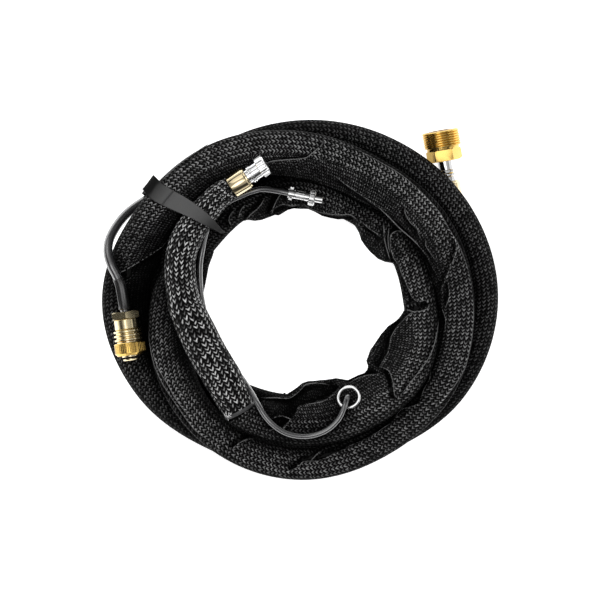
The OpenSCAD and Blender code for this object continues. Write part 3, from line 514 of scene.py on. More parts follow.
# folds of the cloth: first and last angle, drop, lip, painted shade, width, a spot on the lower side
# (none for a plain crease), then the line that the fold follows, all in millimetres
coverFolds = [
    (240, 330, 6, 0.9, 0.75, 19.8, (-22, -116), [(-42, -142), (-28, -142), (-19, -141), (-11, -132),
     (-4, -123), (-2, -118), (11, -114), (28, -110), (41, -99), (45, -95)]),
    (240, 330, 3, 1.2, 0.7, 7.7, (-22, -114), [(-57, -99), (-51, -106), (-42, -108), (-28, -108), (-11, -108),
     (0, -100), (6, -94), (20, -92), (33, -94)]),
    (240, 300, 2, 0.8, 0.5, 4.4, (-22, -138), [(-31, -131), (-22, -128), (-14, -130), (-8, -133)]),
    (300, 360, 5, 0.9, 0.55, 13.2, (82, -55), [(116, -20), (107, -29), (100, -41), (98, -52), (96, -59),
     (90, -69), (87, -77)]),
    (300, 345, 4, 0.8, 0.8, 7.7, (75, -73), [(87, -78), (86, -81), (77, -82), (68, -84), (61, -87),
     (54, -91)]),
    (300, 345, 3.2, 0.5, 0.85, 2.9, None, [(88, -77), (95, -80), (98, -87), (100, -96), (101, -105),
     (105, -111)]),
    (300, 372, 1.2, 0.4, 0.5, 1.4, None, [(151, -20), (147, -44), (141, -61), (130, -77), (119, -91),
     (108, -106)]),
    (345, 382, 3, 0.9, 0.6, 9.9, (114, 0), [(108, 42), (111, 31), (116, 20), (120, 10), (124, 2), (130, -2),
     (138, -1), (142, -3)]),
    (345, 370, 2.6, 0.95, 0.8, 6.6, (130, -4), [(116, -9), (123, -12), (132, -12), (140, -9), (143, -4)]),
    (340, 365, 3, 0.7, 0.6, 5.5, (114, -13), [(114, -21), (121, -15), (130, -12)]),
    (370, 410, 4.5, 0.9, 0.85, 6.6, (95, 57), [(119, 70), (113, 75), (106, 76), (100, 72), (99, 64),
     (100, 55), (103, 46), (109, 38)]),
    (370, 410, 1.5, 1.0, 0.6, 1.7, None, [(90, 86), (91, 66), (95, 50), (98, 41)]),
    (370, 410, 1.2, 0.8, 0.5, 1.4, None, [(96, 80), (95, 66), (97, 51)]),
    (380, 430, 3, 0.7, 0.6, 6.6, (75, 70), [(68, 86), (75, 79), (84, 73), (90, 68)]),
    (400, 480, 2.2, 0.6, 0.75, 2.2, None, [(0, 105), (9, 99), (18, 95), (31, 92), (44, 91), (55, 91),
     (63, 84)]),
    (430, 500, 2.5, 0.8, 0.75, 2.9, None, [(-42, 114), (-47, 105), (-57, 96), (-63, 89)]),
    (430, 500, 3, 0.8, 0.85, 3.3, None, [(-23, 121), (-29, 111), (-33, 102), (-35, 94)]),
    (430, 480, 3, 0.8, 0.8, 6.6, (-20, 98), [(-33, 96), (-26, 102), (-18, 105), (-8, 103), (0, 105)]),
    (470, 530, 2.2, 0.7, 0.7, 2.4, None, [(-74, 101), (-79, 95), (-81, 87), (-78, 80)]),
    (430, 500, 1.6, 0.5, 0.5, 2.2, None, [(-62, 107), (-68, 99), (-70, 90)]),
    (545, 625, 1.4, 1.1, 0.6, 1.5, None, [(-169, -33), (-166, -55), (-161, -75), (-152, -94), (-141, -111),
     (-128, -130), (-116, -145), (-99, -158)]),
    (545, 625, 0.9, 0.7, 0.4, 1.3, None, [(-164, -57), (-158, -75), (-148, -92), (-138, -110), (-124, -128)]),
    (780, 860, 2.2, 1.2, 0.75, 4.4, (0, 163), [(28, 179), (24, 170), (16, 163), (7, 156), (-11, 154),
     (-31, 152), (-42, 148)]),
    (720, 800, 1.4, 1.3, 0.85, 5.0, (80, 90), [(33, 140), (50, 127), (66, 116), (88, 100), (110, 78),
     (127, 63), (138, 50), (146, 35), (153, 21)]),
    (690, 790, 1.4, 0.9, 0.95, 4.2, (150, 150), [(3, 184), (22, 180), (38, 175), (50, 170), (66, 164),
     (88, 152), (110, 139), (127, 125), (143, 109), (154, 96), (165, 77), (174, 62), (182, 43), (187, 26),
     (190, 11)]),
    (630, 730, 1.4, 0.9, 0.95, 4.2, (215, -60), [(190, 11), (191, -6), (191, -22), (189, -43), (186, -59),
     (182, -74), (175, -87), (166, -100), (157, -112), (148, -122)]),
    (700, 780, 2.4, 1.3, 0.65, 6.6, (160, 42), [(169, 70), (172, 58), (170, 48), (166, 38), (162, 28),
     (157, 16), (154, 10)]),
    (690, 740, 2, 0.8, 0.7, 2.0, None, [(160, 21), (162, 11), (161, 0), (158, -6)]),
    (680, 740, 2, 0.8, 0.7, 2.0, None, [(154, -10), (157, -18), (158, -24), (157, -35)]),
    (720, 790, 2, 0.8, 0.6, 2.4, None, [(113, 105), (113, 95), (119, 84), (127, 76), (129, 67)]),
    (720, 790, 1.2, 0.5, 0.4, 2.2, None, [(136, 68), (136, 59), (143, 48), (147, 42)]),
    (620, 720, 3.2, 0.8, 0.9, 3.3, None, [(141, -74), (139, -86), (133, -97), (129, -109)]),
    (620, 720, 3.2, 1.0, 0.85, 6.6, (112, -113), [(135, -109), (132, -113), (123, -117), (112, -120),
     (106, -127), (102, -133)]),
    (620, 700, 2, 0.9, 0.7, 5.5, (84, -138), [(102, -134), (94, -139), (82, -147), (68, -155), (50, -162)]),
    (600, 700, 4, 1.1, 0.9, 7.7, (0, -170), [(-15, -189), (-9, -187), (-2, -183), (3, -178), (13, -177),
     (20, -177), (28, -174), (35, -170), (44, -166), (55, -161)]),
    (600, 680, 2, 0.8, 0.7, 4.4, (13, -168), [(11, -177), (20, -168), (25, -165)]),
    (580, 680, 3.4, 1.0, 0.85, 7.7, (-73, -154), [(-76, -165), (-68, -158), (-61, -154), (-51, -152)]),
    (860, 920, 2.6, 1.0, 0.9, 11.0, (-176, 26), [(-206, 26), (-193, 32), (-176, 42), (-162, 51), (-152, 58),
     (-145, 66)]),
    (840, 880, 1, 0.8, 0.4, 1.3, None, [(-151, 129), (-141, 140), (-128, 151), (-112, 162), (-97, 172)]),
    (860, 900, 1.4, 0.6, 0.5, 2.2, None, [(-200, 75), (-196, 86), (-187, 97), (-176, 106)]),
]


def coverCentre(angle):
    s = coverSettings
    x = (angle - s["firstAngle"]) / s["stationStep"]
    return along(s["reach"], x), max(s["bed"], along(s["layer"], x)) * s["height"]


def atCoil(angle, u, v):
    reach, rise = coverCentre(angle)
    a = math.radians(angle)
    return Vector(((reach + u) * math.cos(a), (reach + u) * math.sin(a), rise + v))


def coverSlack(angle):
    s = coverSettings
    width = along(s["slack"], (angle - s["firstAngle"]) / s["stationStep"])
    edge = s["innerEdge"]
    if angle < edge[-1][0]:
        wanted = coverCentre(angle)[0] - lookup(edge, angle)
        width += (wanted - width) * smoothStep((edge[-1][0] - angle) / 12)
    return max(s["snugWidth"] - 1, width)


def sectionSteps():
    # places round the section, close on the upper side and wide underneath, from the bottom outwards
    spans = ((-90, 80, 9), (-10, 200, 66), (190, 80, 9))
    return [math.radians(start + sweep * k / count) for start, sweep, count in spans for k in range(count)]


def coverRing(angle, turns):
    s = coverSettings
    reach, rise = coverCentre(angle)
    width = coverSlack(angle)
    flat = max(0, width - s["snugWidth"]) / s["snugWidth"]
    square = lookup(s["squareness"], angle)
    around = math.radians(angle)
    c, si = math.cos(around), math.sin(around)
    loose = smoothStep((width - s["looseFrom"]) / s["looseOver"])
    endShare = 1 - smoothStep((angle - s["firstAngle"]) / s["leanOver"])
    (waveX, waveY), (rippleX, rippleY) = s["waveScale"], s["rippleScale"]
    ring = []
    for t in turns:
        cx, sy = math.cos(t), math.sin(t)
        if cx > 0:
            rounding = 1 - s["squareSides"] * square
            u = s["outerWidth"] * cx ** (1 - s["squareReach"] * square)
        else:
            rounding = 1 + flat * smoothStep((-cx - 0.25) / 0.35)
            u = width * cx
        v = s["height"] / 2 * math.copysign(abs(sy) ** rounding, sy)
        wave = noise.noise(Vector((around * waveX, u * waveY, 0.2 if sy > 0 else 5.2)))
        v += loose * smoothStep(-cx * 1.4) * s["waves"] * wave * (0.4 + abs(sy))
        v += s["ripples"] * noise.noise(Vector((around * rippleX, u * rippleY, 3))) * max(0, sy)
        lead = s["endLean"] * (s["outerWidth"] - u) * endShare / (reach + u)
        ring.append(((reach + u) * (c - lead * si), (reach + u) * (si + lead * c), max(0.0, rise + v)))
    return ring


def fromLine(x, y, line):
    # distance to a broken line, side of it, and share of its length
    best, side, share = np.full(x.shape, 1e9), np.zeros(x.shape), np.zeros(x.shape)
    for i, ((x0, y0), (x1, y1)) in enumerate(zip(line, line[1:])):
        dx, dy = x1 - x0, y1 - y0
        t = np.clip(((x - x0) * dx + (y - y0) * dy) / (dx * dx + dy * dy), 0, 1)
        d = np.hypot(x - x0 - t * dx, y - y0 - t * dy)
        near = d < best
        side = np.where(near, np.sign(dx * (y - y0) - dy * (x - x0)), side)
        share = np.where(near, (i + t) / (len(line) - 1), share)
        best = np.where(near, d, best)
    return best, side, share


def foldCloth(points, angles, upper):
    # drops, lips and creases pressed into the upper side, and the painted shade and painted highlight that
    # each leaves in the colour
    s = coverSettings
    rise, light = np.zeros(len(points)), np.ones(len(points))
    for first, last, drop, lip, dark, width, low, line in coverFolds:
        chosen = np.where((angles >= first) & (angles <= last) & (upper > 0))[0]
        d, side, share = fromLine(points[chosen, 0], points[chosen, 1], line)
        fade = np.clip(np.minimum(share, 1 - share) / s["fadeShare"], 0, 1) * upper[chosen]
        if low:
            lowSide = fromLine(np.array([float(low[0])]), np.array([float(low[1])]), line)[1][0]
            below = (side == lowSide) & (d < width)
            near = np.clip(1 - d / width, 0, 1)
            fall = s["dropGain"] * drop * near ** 0.8 * np.minimum(1, d / s["shoulder"]) * fade
            shade = np.minimum(s["darkestPaintedShade"], s["foldPaintedShade"] * dark) * near ** 0.6 * fade
            fall, shade = np.where(below, fall, 0), np.where(below, shade, 0)
            onLip = (side != lowSide) * np.exp(-((d - 0.6) / 1.1) ** 2)
        else:
            groove = np.exp(-(d / width) ** 2)
            fall = s["dropGain"] * drop * groove * fade
            shade = np.minimum(s["darkestPaintedShade"], s["creasePaintedShade"] * dark) * groove * fade
            onLip = np.exp(-(d - width - 0.8) ** 2) * (side > 0)
        rise[chosen] += s["lipGain"] * lip * onLip * fade - fall
        light[chosen] = light[chosen] * (1 - shade) + s["lipPaintedHighlight"] * onLip * fade
    return rise, light


# light on the cover: a grid of squares over the floor, and where each point looks
skySettings = {"cell": 2.0, "half": 150, "fill": 0.6,
               "ways": 16, "steps": (3, 5, 8, 12, 18, 26), "clear": 0.8}


def gridPlace(x, y):
    g = skySettings
    return tuple(np.clip((v / g["cell"] + g["half"]).astype(int), 0, 2 * g["half"] - 1) for v in (x, y))


def heightMap(samples):
    # highest point over each small square of the floor
    size = 2 * skySettings["half"]
    grid = np.zeros((size, size))
    np.maximum.at(grid, gridPlace(samples[:, 0], samples[:, 1]), samples[:, 2])
    shifts = ((1, 0), (-1, 0), (0, 1), (0, -1))
    around = np.max([np.roll(grid, shift, (0, 1)) for shift in shifts], axis=0)
    return np.where(grid > 0, grid, skySettings["fill"] * around)


def skyShare(points, grid):
    # how much of the sky each point sees past its neighbours
    g = skySettings
    x, y, z = points.T
    seen = np.zeros(len(points))
    for a in np.linspace(0, 2 * math.pi, g["ways"], endpoint=False):
        worst = np.zeros(len(points))
        for d in g["steps"]:
            there = gridPlace(x + d * math.cos(a), y + d * math.sin(a))
            worst = np.maximum(worst, (grid[there] - z - g["clear"]) / d)
        seen += 1 - worst / np.sqrt(1 + worst ** 2)
    return seen / g["ways"]


def buildCover():
    s = coverSettings
    angles = list(np.arange(s["firstAngle"], s["nearEnd"], s["nearStep"]))
    angles += list(np.arange(s["nearEnd"], s["lastAngle"] + 0.01, s["farStep"]))
    turns = sectionSteps()
    sides = len(turns)
    points = np.array([coverRing(a, turns) for a in angles])
    flatAngles = np.repeat(angles, sides)
    flatUpper = np.tile(np.clip(np.sin(turns) / 0.3, 0, 1), len(angles))
    cloud = points.reshape(-1, 3)
    rise, light = foldCloth(cloud, flatAngles, flatUpper)
    cloud[:, 2] = np.maximum(0, cloud[:, 2] + rise)
    between = (points[1:] + points[:-1]) / 2
    sky = skyShare(cloud, heightMap(np.concatenate([cloud, between.reshape(-1, 3)] + crowd)))
    # painted light for the colour: shade where a point sees little sky and in folds, highlight along fold
    # lips
    tone = np.clip(s["light"] * light * sky ** s["skyPower"], 0, 1)
    middles = [atCoil(a, (s["outerWidth"] - coverSlack(a)) / 2, 0) for a in angles]
    lengths = walkedTo([atCoil(a, 0, 0) for a in angles])
    outermost = min(range(sides), key=lambda k: abs(turns[k]))
    steps = np.linalg.norm(np.roll(points, -1, 1) - points, axis=2) / s["rowWidth"]
    girths = np.concatenate([np.zeros((len(angles), 1)), np.cumsum(steps, axis=1)], axis=1)
    girths -= girths[:, outermost:outermost + 1]
    obj = meshFromRings("wovenCover", points, lambda i, k: (lengths[i], girths[i][k]))
    loose = np.array([smoothStep((coverSlack(a) - s["looseFrom"]) / 10) for a in angles])
    inward = np.array([smoothStep(-math.cos(t) * 2.2) for t in turns])
    addValues(obj.data, "tone", tone)
    addValues(obj.data, "fine", np.outer(loose, inward).ravel())
    return obj, middles, (cloud, flatAngles, flatUpper)


def lipLine(fold, shape):
    # places along the raised side of a fold, with the way it runs and the cover's height at each
    s = lipSettings
    cloud, angles, upper = shape
    first, last, drop, lip, dark, width, low, line = fold
    route = smoothRoute([(x, y, 0) for x, y in line], s["step"])
    chosen = np.where((angles >= first - 3) & (angles <= last + 3) & (upper > 0.2))[0]
    away = width + s["inset"]
    if low:
        (x0, y0), (x1, y1) = line[0], line[-1]
        away = -math.copysign(s["inset"], (x1 - x0) * (low[1] - y0) - (y1 - y0) * (low[0] - x0))
    spots, heights = [], []
    for i, p in enumerate(route):
        way = wayAt(route, i)
        q = p + Vector((-way.y, way.x, 0)) * away
        d = np.hypot(cloud[chosen, 0] - q.x, cloud[chosen, 1] - q.y)
        near = np.argsort(d)[:5]
        if d[near[0]] <= s["reach"]:
            spots.append((q, way))
            heights.append(float(np.mean(cloud[chosen[near], 2])))
    return spots, heights


def addLips(shape):
    # folded edges of the cloth: thin rolls that follow the fold lines over the surface, painted lighter than
    # the cover as a highlight that fades towards their ends
    s = lipSettings
    sides = s["sides"]
    mesh = bpy.data.meshes.new("coverLips")
    points, faces, tones, steps = [], [], [], []
    for fold in coverFolds:
        spots, heights = lipLine(fold, shape)
        if len(spots) < 6:
            continue
        heights = np.convolve(np.pad(heights, 2, mode="edge"), np.ones(5) / 5, mode="valid")
        faces += tubeFaces(len(points), len(spots), sides)
        thick = s["radius"] * (0.7 + 0.3 * fold[3])
        for i, ((q, way), z) in enumerate(zip(spots, heights)):
            share = i / (len(spots) - 1)
            end = min(share, 1 - share)
            r = thick * (0.15 + 0.85 * smoothStep(end / 0.15))
            for corner in ringAcross(Vector((q.x, q.y, float(z) + s["lift"])), way, r, r, sides):
                points.append(tuple(corner * mm))
                tones.append(s["tone"] * (0.6 + 0.4 * smoothStep(end / 0.2)))
                steps.append(i)
    mesh.from_pydata(points, [], faces)
    mesh.update()
    layer = mesh.uv_layers.new(name="weave")
    for loop in mesh.loops:
        vertex = loop.vertex_index
        layer.data[loop.index].uv = (steps[vertex] * s["step"] * s["stretch"], (vertex % sides) * 0.4)
    addValues(mesh, "tone", tones)
    addValues(mesh, "fine", [0.0] * len(points))
    mesh.shade_smooth()
    faceOutward(mesh)
    return newObject("coverLips", mesh)


def tubeTop(route, radius):
    # points over the upper side of a round lead, as cover for what lies under it
    out = []
    for i, p in enumerate(route):
        way = wayAt(route, i)
        side = Vector((way.y, -way.x, 0)).normalized()
        r = radius(i / (len(route) - 1))
        for k in range(-6, 7):
            o = r * k / 6
            out.append((p.x + side.x * o, p.y + side.y * o, p.z + math.sqrt(max(0, r * r - o * o))))
    return np.array(out)


# where the free leads run, in millimetres
torchSettings = {"at": Vector((-75.4, 123.8, 67.76)), "heading": 34, "rise": 7}
torchWay = heading(torchSettings["heading"], torchSettings["rise"])
plugSettings = {"at": Vector((-13.2, 117.7, 44.26)), "heading": -11}
plugWay = heading(plugSettings["heading"])
gasSettings = {"at": Vector((-192.5, -12.7, 44.94)), "heading": -81.9}
gasWay = heading(gasSettings["heading"])
machineSettings = {"at": Vector((167.4, 109.4, 19)), "heading": 100, "rise": 2.2}
machineWay = heading(machineSettings["heading"], machineSettings["rise"])
seamAt = Vector((-65.5, -123.5, 64))
torchHose = {
    "points": [seamAt, (-75.5, -105, 66.5), (-84.5, -87, 69), (-96, -68, 72), (-106, -50, 74.5),
               (-114, -33.8, 77), (-122, -16, 79), (-127.3, -2.9, 80), (-130.5, 14, 80), (-132, 30, 80),
               (-131.5, 46, 79.5), (-127.5, 62, 79), (-119, 79, 77), (-106, 96, 74),
               torchSettings["at"] - 16 * torchWay, torchSettings["at"] - 0.3 * torchWay],
    # share of the length, half width, half height
    "sizes": [(0.0, 17.4, 15.5), (0.04, 18.6, 16.6), (0.14, 21, 17.6), (0.35, 21, 17.8), (0.45, 19.4, 18),
              (0.52, 17.4, 18), (0.62, 17.2, 17.6), (0.72, 17.2, 17.2), (0.8, 16.6, 16.2),
              (0.88, 15.4, 14.6), (0.95, 14.3, 13.3), (0.985, 13.3, 12.6), (1.0, 12.5, 12.3)],
}


def torchSize(share):
    return [lookup([(row[0], row[i]) for row in torchHose["sizes"]], share) for i in (1, 2)]


torchRoute = smoothRoute(torchHose["points"], 2.0)
eyeletAt = Vector((53.769, -107.374, 69.518))
controlStart = atCoil(305, -5, 7)
controlWay = Vector((math.sin(math.radians(305)), -math.cos(math.radians(305)), 0))
controlPoints = [
    controlStart, controlStart + 4 * controlWay, atCoil(301, -12, 4.5), atCoil(298.8, -17, 4),
    eyeletAt + Vector((0, 0.5, -2.5)), eyeletAt + Vector((-1.5, 0, 5)),
    (49.5, -115.5, 80), (42.5, -131, 80), (28, -144, 78), (6, -150, 77),
    (-16.5, -146, 79), (-35, -132, 82), (-46, -115.5, 81), (-53, -103, 72), (-62, -89, 58),
    (-75, -72, 51), (-88, -52, 51), (-100, -30, 54), (-106, -10, 58), (-109.5, 12, 61),
    (-110, 40, 63), (-107, 58, 64), (-104.5, 70.5, 62), (-99.5, 84, 59.5), (-91, 97, 56), (-80, 107, 51),
    (-67, 113.5, 49), (-54, 119, 48.5), (-42, 121.8, 48.5),
    plugSettings["at"] - 10 * plugWay, plugSettings["at"] + 2 * plugWay]
gasStart = atCoil(1440, -9, -5)
gasPoints = [
    gasStart, gasStart + Vector((0, 12, 0)),
    (141, 38, 6), (134, 74, 6), (109, 108, 6), (74, 133, 6), (36, 148, 6), (-4, 151.5, 6),
    (-42, 144, 6), (-74, 128, 6), (-100, 116, 6), (-128, 116, 6.4), (-154, 117, 9.5), (-172, 108.5, 18),
    (-191, 94.5, 27), (-204, 78, 36), (-210.6, 63, 43), (-211, 50, 47), (-207.2, 37.5, 48.8),
    (-201.8, 27, 47.5), (-197.3, 16, 45.8), gasSettings["at"] - 12 * gasWay, gasSettings["at"] + 7 * gasWay]
machineStart = atCoil(1440, 5.5, -2)
machinePoints = [
    machineStart, machineStart + Vector((0, 14, 0)), (157, 35, 10), (163, 56, 10), (168.5, 76, 14.5),
    machineSettings["at"] - 16 * machineWay, machineSettings["at"] + 10 * machineWay]
crowd = [tubeTop(torchRoute, lambda share: torchSize(share)[0]),
         tubeTop(smoothRoute(controlPoints, 2), lambda share: 3.2),
         tubeTop(smoothRoute(gasPoints, 2), lambda share: 5.2)]

cover, coverMiddle, coverShape = buildCover()
# stops: colour by stitch height, with painted highlight on proud stitches and painted shade between them
coverBraid = {"roughness": 0.7, "specular": 0.04, "pitch": 4.3, "slant": 0.62, "offset": 0.3,
              "thin": 1.5, "short": 0.3, "waver": 0.16, "unrest": 0.9, "spread": 0.6, "grain": 45.0,
              "leanPaintedLight": 0.2, "depth": 0.0012, "strength": 0.9, "coat": 0.12, "tone": True, "fine": 1.35,
              "stops": [(0.3, 0.002), (0.6, 0.045), (1.0, 0.27)]}
dress(cover, braidMaterial("coverWeave", coverBraid), "cover_weave", "woven_cover")
# the lips are painted lighter than the cover, in level and in weave stops, as a highlight along the folds
lipSettings = {"step": 1.1, "radius": 0.62, "inset": 0.5, "lift": 0.25, "reach": 4, "sides": 6,
               "tone": 0.8, "stretch": 2.4,
               "weave": {"fine": None, "thin": 0.3, "short": 0.05, "spread": 0.35,
                         "stops": [(0.2, 0.02), (0.6, 0.07), (1.0, 0.13)]}}
dress(addLips(coverShape), braidMaterial("coverEdge", {**coverBraid, **lipSettings["weave"]}), "cover_weave")
print("cover swept")


# coarse braided hose of the torch end
# stops and spread: colour by filament height and random spread, with bright painted glints on proud filaments
# and painted shade between them
hoseBraid = {"roughness": 0.5, "specular": 0.05, "pitch": 5.2, "slant": 0.7, "offset": 0.4,
             "thin": 1.3, "short": 0.45, "waver": 0.09, "unrest": 0.8, "spread": 1.0, "grain": 120.0,
             "leanPaintedLight": 0.2, "depth": 0.0024, "strength": 1.0, "coat": 1.0,
             "stops": [(0.3, 0.0015), (0.6, 0.045), (1.0, 0.5)]}
torchBraid = hoseMesh("torchHoseBraid", torchRoute, torchSize, 64, 38)
dress(torchBraid, braidMaterial("monofilamentBraid", hoseBraid), "braid_monofilament", "torch_hose_braid")
[tuple(p * mm) for p in torchRoute]


# heat-shrink sleeve: drawn down over the lead, with four lengthwise ridges
shrinkSettings = {"from": 38, "to": 1, "ridges": 4, "ridge": 0.8, "sides": 48,
                  "radii": [(0, 5.7), (0.03, 6.2), (0.5, 6.2), (0.9, 6.4), (0.96, 6.9), (1, 6.3)]}


def addShrink():
    t = shrinkSettings
    route = smoothRoute(gasPoints, 1.0)
    walked = walkedTo(route)
    end = walked[-1] - 7
    chosen = [p for p, gone in zip(route[1:], walked[1:]) if end - t["from"] <= gone <= end - t["to"]]
    rings = []
    for i, p in enumerate(chosen):
        share = i / (len(chosen) - 1)
        ring = ringAcross(p, wayAt(chosen, i), 1, 1, t["sides"])
        swell = t["ridge"] * math.sin(math.pi * min(1, share * 1.1)) ** 0.4 if share < 0.9 else 0
        for k, q in enumerate(ring):
            fold = max(0, math.cos(t["ridges"] * (2 * math.pi * k / t["sides"] - 0.5))) ** 3
            ring[k] = p + (q - p) * (lookup(t["radii"], share) + swell * fold)
        rings.append(ring)
    dress(meshFromRings("gasHeatShrink", rings), finishes["shrink"], "heat_shrink", "gas_heat_shrink")


addShrink()
print("braided hose added")


# smooth leads
def roundLead(name, node, points, diameter, slot, **facts):
    route = smoothRoute(points, diameter * 0.5)
    piece = dress(curvePiece(name, diameter / 2, 6, [route]), glossyBlack, slot, node)
    tuple(route[0] * mm)


glossyBlack, _, _ = newMaterial("glossyJacket", (0.012, 0.012, 0.013), 0.35,
                                Coat_Weight=1.0, Coat_Roughness=0.22, Coat_IOR=2.4)
roundLead(
    "controlCable", "control_cable", controlPoints, 6.3, "control_cable_jacket",
    far_end="plug", stiffness="medium", lay="loose",
    with_pieces=["plugBody", "plugSaddle", "plugSaddleScrews", "plugBarrel", "plug_insert",
                 "plug_contacts", "plugSnapRing", "plugCouplingRing"])
roundLead(
    "gasLead", "gas_lead", gasPoints, 10.3, "gas_lead_rubber",
    far_end="connector", stiffness="medium", lay="coiled",
    with_pieces=["gasHeatShrink", "gasBackNut", "gasSplitCollar", "gasCouplingBody", "gasKnurledRing",
                 "gasSnapRing", "gas_nose_seal"])
roundLead(
    "machineHose", "machine_hose", machinePoints, 17.6, "machine_hose_rubber",
    far_end="fitting", stiffness="stiff", lay="loose",
    with_pieces=["machineFerrule", "machineNipple", "machineUnion", "machine_seal"])
print("leads laid")


# floor, lamps and sky
studio = {
    "floorSize": 12, "floorGlow": 0.72,
    # windows in the sky: direction, cosine of half their angle, strength
    "windows": [((-0.5, 0.56, 0.78), 0.93, 1.0), ((0.86, 0.1, 0.5), 0.955, 0.9),
                ((-0.16, -0.2, 0.967), 0.957, 1.8)],
    "windowBlur": 0.025,
    "lamps": [
        ("keyLamp", (-0.9, 1.0, 1.6), 1.1, 34),
        ("fillLamp", (1.0, -0.7, 1.5), 1.3, 12),
        ("topLamp", (0.15, 0.25, 2.4), 0.7, 14),
    ],
    # brightness of the sky by height, from the horizon to straight up
    "sky": [(0.0, 0.9), (0.22, 0.85), (0.32, 0.06), (0.7, 0.04), (0.84, 0.42), (1.0, 0.5)],
}


def addStudio():
    bpy.ops.object.select_all(action="DESELECT")
    bpy.ops.mesh.primitive_plane_add(size=studio["floorSize"], location=(0, 0, -0.0005))
    floor = bpy.context.object
    floor.name = "studioFloor"
    material, w, shader = newMaterial("paleFloor", (0.82, 0.82, 0.82), 0.9)
    direct = w.make("ShaderNodeLightPath", {}, 0)
    glossy = w.make("ShaderNodeLightPath", {}, 3)
    white = w.make("ShaderNodeEmission", {"Color": (1, 1, 1, 1), "Strength": studio["floorGlow"]})
    lit = w.make("ShaderNodeAddShader", {0: Wire(w.tree, shader.outputs[0]), 1: white})
    seen = w.maths("MAXIMUM", direct, glossy)
    final = w.make("ShaderNodeMixShader", {0: seen, 1: Wire(w.tree, shader.outputs[0]), 2: lit})
    w.tree.links.new(final.socket, w.tree.nodes["Material Output"].inputs["Surface"])
    wear(floor, material)
    for name, place, size, power in studio["lamps"]:
        lamp = bpy.data.lights.new(name, "AREA")
        lamp.shape = "DISK"
        lamp.size = size
        lamp.energy = power
        obj = newObject(name, lamp)
        obj.location = place
        obj.visible_glossy = False
        obj.rotation_euler = (-Vector(place)).to_track_quat("-Z", "Y").to_euler()
    world = bpy.data.worlds.new("studioWorld")
    bpy.context.scene.world = world
    world.use_nodes = True
    w = Wire(world.node_tree)
    way = w.make("ShaderNodeTexCoord", {})
    height = w.make("ShaderNodeSeparateXYZ", {0: way}, 2)
    total = w.ramp(studio["sky"], height)
    for place, edge, strength in studio["windows"]:
        toward = w.make("ShaderNodeVectorMath", {0: way, 1: Vector(place).normalized()}, 1,
                        operation="DOT_PRODUCT")
        limits = {1: edge, 2: edge + studio["windowBlur"], 3: 0.0, 4: strength}
        window = w.make("ShaderNodeMapRange", {0: toward, **limits})
        total = w.mixed("ADD", total, window)
    w.tree.links.new(total.socket, world.node_tree.nodes["Background"].inputs["Color"])
    bpy.context.scene.view_settings.view_transform = "Standard"


addStudio()
print("studio lit")


# the strap: a band round the bundle that twists where it goes down on the inner side
def ribbon(name, entries, slot, node, skew=0.0):
    across = (-1, -0.9, -0.5, 0, 0.5, 0.9, 1)
    thickness = strapSettings["thickness"]
    places = [strapPlace(entry) for entry in entries]
    points = [place[0] for place in places]
    shares = [gone / routeLength(points) for gone in walkedTo(points)]
    widths = [(share, place[1]) for share, place in zip(shares, places)]
    tilts = [(share, place[2]) for share, place in zip(shares, places)]
    route = smoothRoute(points, 2.5)
    walked = walkedTo(route)
    rings = []
    for i, p in enumerate(route):
        way, share = wayAt(route, i), walked[i] / walked[-1]
        flat = strapSettings["across"] - strapSettings["across"].dot(way) * way
        flat.normalize()
        up = flat.cross(way)
        tilt = math.radians(lookup(tilts, share))
        flat, up = math.cos(tilt) * flat + math.sin(tilt) * up, math.cos(tilt) * up - math.sin(tilt) * flat
        half = lookup(widths, share) / 2
        profile = [(x, 0.5) for x in across] + [(x, -0.5) for x in reversed(across)]
        rings.append([p + half * x * (flat + skew * way) + thickness * y * up for x, y in profile])
    piece = meshFromRings(name, rings)
    # painted shade by distance from the middle, carried in the painted light attribute
    values = [lookup(strapSettings["tones"], math.hypot(q.x, q.y)) for ring in rings for q in ring]
    addValues(piece.data, "tone", values)
    dress(piece, strapMaterial, slot, node)


strapAzimuth = math.radians(143.5)
strapSettings = {
    "across": Vector((-math.sin(strapAzimuth), math.cos(strapAzimuth), 0)), "thickness": 1.5,
    "endSkew": 0.24,
    # distance from the middle, sideways shift, height, width, tilt
    "band": [(150, 0, 1.9, 19, 0), (125, 0, 1.9, 16, 0), (114, -6, 2.2, 10, 0), (112.2, -8, 4.5, 8, 0),
             (112.2, -9, 30, 6, 20), (112.4, -9.1, 54, 5, 45), (114.4, -9.1, 66.5, 5, 48),
             (117.6, -9.1, 76, 6, 45), (122.5, -9.2, 84.5, 8, 38), (129, -9.4, 91.8, 10.5, 27),
             (136, -9.4, 95.2, 12.5, 18), (147, -9, 95, 14.5, 10), (156, -8.2, 90, 16.5, 6),
             (168, -6.5, 84.8, 18.3, 3), (180, -4.4, 81.8, 19.5, 0), (192, -2.6, 80.8, 20.5, 0),
             (200, -2.2, 80.6, 20.5, 0), (205, -2.4, 78.5, 20, 0), (208, -3, 70, 19, 0),
             (208.4, -3, 60, 19, 0), (208.4, -2, 30, 19, 0), (208.4, 0, 4.5, 19, 0), (206, 0, 2.2, 19, 0),
             (150, 0, 1.9, 19, 0)],
    "end": [(184, -3.9, 83, 19.5, 0), (192, -2.6, 82.6, 20, 0), (199, -2.6, 82.9, 20, 0),
            (203.5, -3.4, 84.2, 20, 0), (206.8, -4, 84.8, 20, 0), (209.4, -4.4, 83.8, 20, 0),
            (210.8, -4.6, 80.5, 20, 0), (211, -4.6, 76, 20, 0)],
    # painted shade of the cloth by distance from the middle, darker where the band goes down at the inner and
    # outer sides
    "tones": [(112, 0.2), (118, 0.4), (128, 0.6), (140, 0.8), (155, 0.95), (176, 1.0), (188, 0.85),
              (196, 0.6), (201, 0.42), (202.6, 0.08), (214, 0.05)],
}


def strapPlace(entry):
    # middle point, width, and tilt in degrees
    reach, aside, height, width, tilt = entry
    middle = Vector((reach * math.cos(strapAzimuth), reach * math.sin(strapAzimuth), height))
    return middle + aside * strapSettings["across"], width, tilt


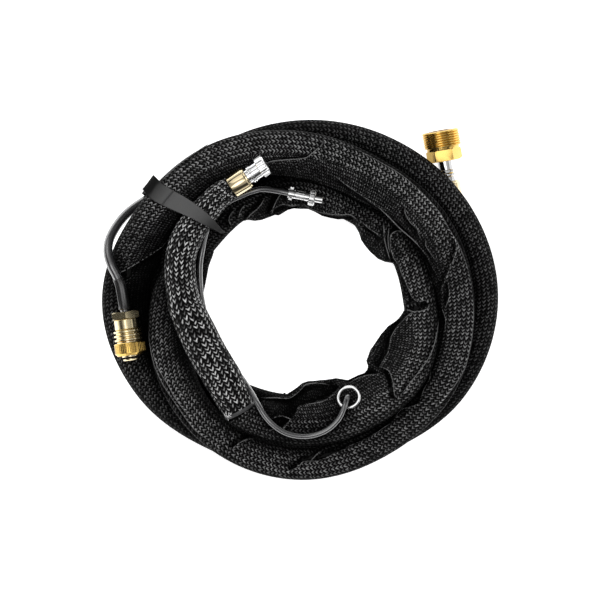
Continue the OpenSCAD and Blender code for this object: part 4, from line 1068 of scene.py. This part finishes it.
strapCloth = {"roughness": 0.75, "specular": 0.12, "grain": 700.0, "depth": 0.0003, "light": 0.06}
strapMaterial = paintedLightCloth("strapCloth", strapCloth)
ribbon("tieStrap", strapSettings["band"], "tie_fabric", "tie_strap")
ribbon("tieStrapEnd", strapSettings["end"], "tie_end_fabric", "tie_strap_end", strapSettings["endSkew"])
print("strap wound")


# seam band: a narrow rolled edge round the braided hose where the cover ends
bandSettings = {"hoseShare": 0.014, "proud": 0.7}
bandRoute = [torchRoute[0].lerp(torchRoute[2], f) for f in np.arange(6) / 5]


def bandSize(share):
    wide, high = torchSize(share * bandSettings["hoseShare"])
    proud = bandSettings["proud"] * (0.3 + 0.7 * math.sin(math.pi * share) ** 0.5)
    return wide + proud, high + proud


dress(hoseMesh("torchEndBand", bandRoute, bandSize, 64), finishes["bandPlastic"], "band_plastic",
      "torch_end_band")


# loose filaments at the cut edge of the braided hose, pale grey as a painted glint on the black braid
glintThreadSettings = {
    "radius": 0.33, "lift": 0.4, "arch": 0.9,
    # start and end of each: distance up the hose, distance to the left of its middle
    "threads": [(0.4, 16.0, 8.5, 14.2), (0.4, 13.2, 4.8, 15.8), (1.0, 16.6, 10.5, 16.4),
                (0.2, 11.2, 3.6, 13.4), (1.2, 14.8, 6.0, 11.4), (2.2, 15.6, 3.4, 9.4),
                (0.2, 15.2, -1.6, 16.2)],
}


def addGlintThreads():
    t = glintThreadSettings
    way = (torchRoute[2] - torchRoute[0]).normalized()
    side = Vector((0, 0, 1)).cross(way).normalized()
    wide, high = torchSize(0.01)
    routes = []
    for up0, left0, up1, left1 in t["threads"]:
        route = []
        for k in range(9):
            share = k / 8
            left = left0 + (left1 - left0) * share
            rise = high * math.sqrt(max(0.0, 1 - (left / wide) ** 2)) + t["lift"]
            rise += t["arch"] * math.sin(math.pi * share)
            route.append(seamAt + (up0 + (up1 - up0) * share) * way + left * side + Vector((0, 0, rise)))
        routes.append(route)
    pale, _, _ = newMaterial("paintedGlintFilament", (0.5, 0.5, 0.5), 0.35)
    dress(curvePiece("torchHoseGlintThreads", t["radius"], 2, routes), pale, "braid_monofilament")


addGlintThreads()
print("small soft parts added")
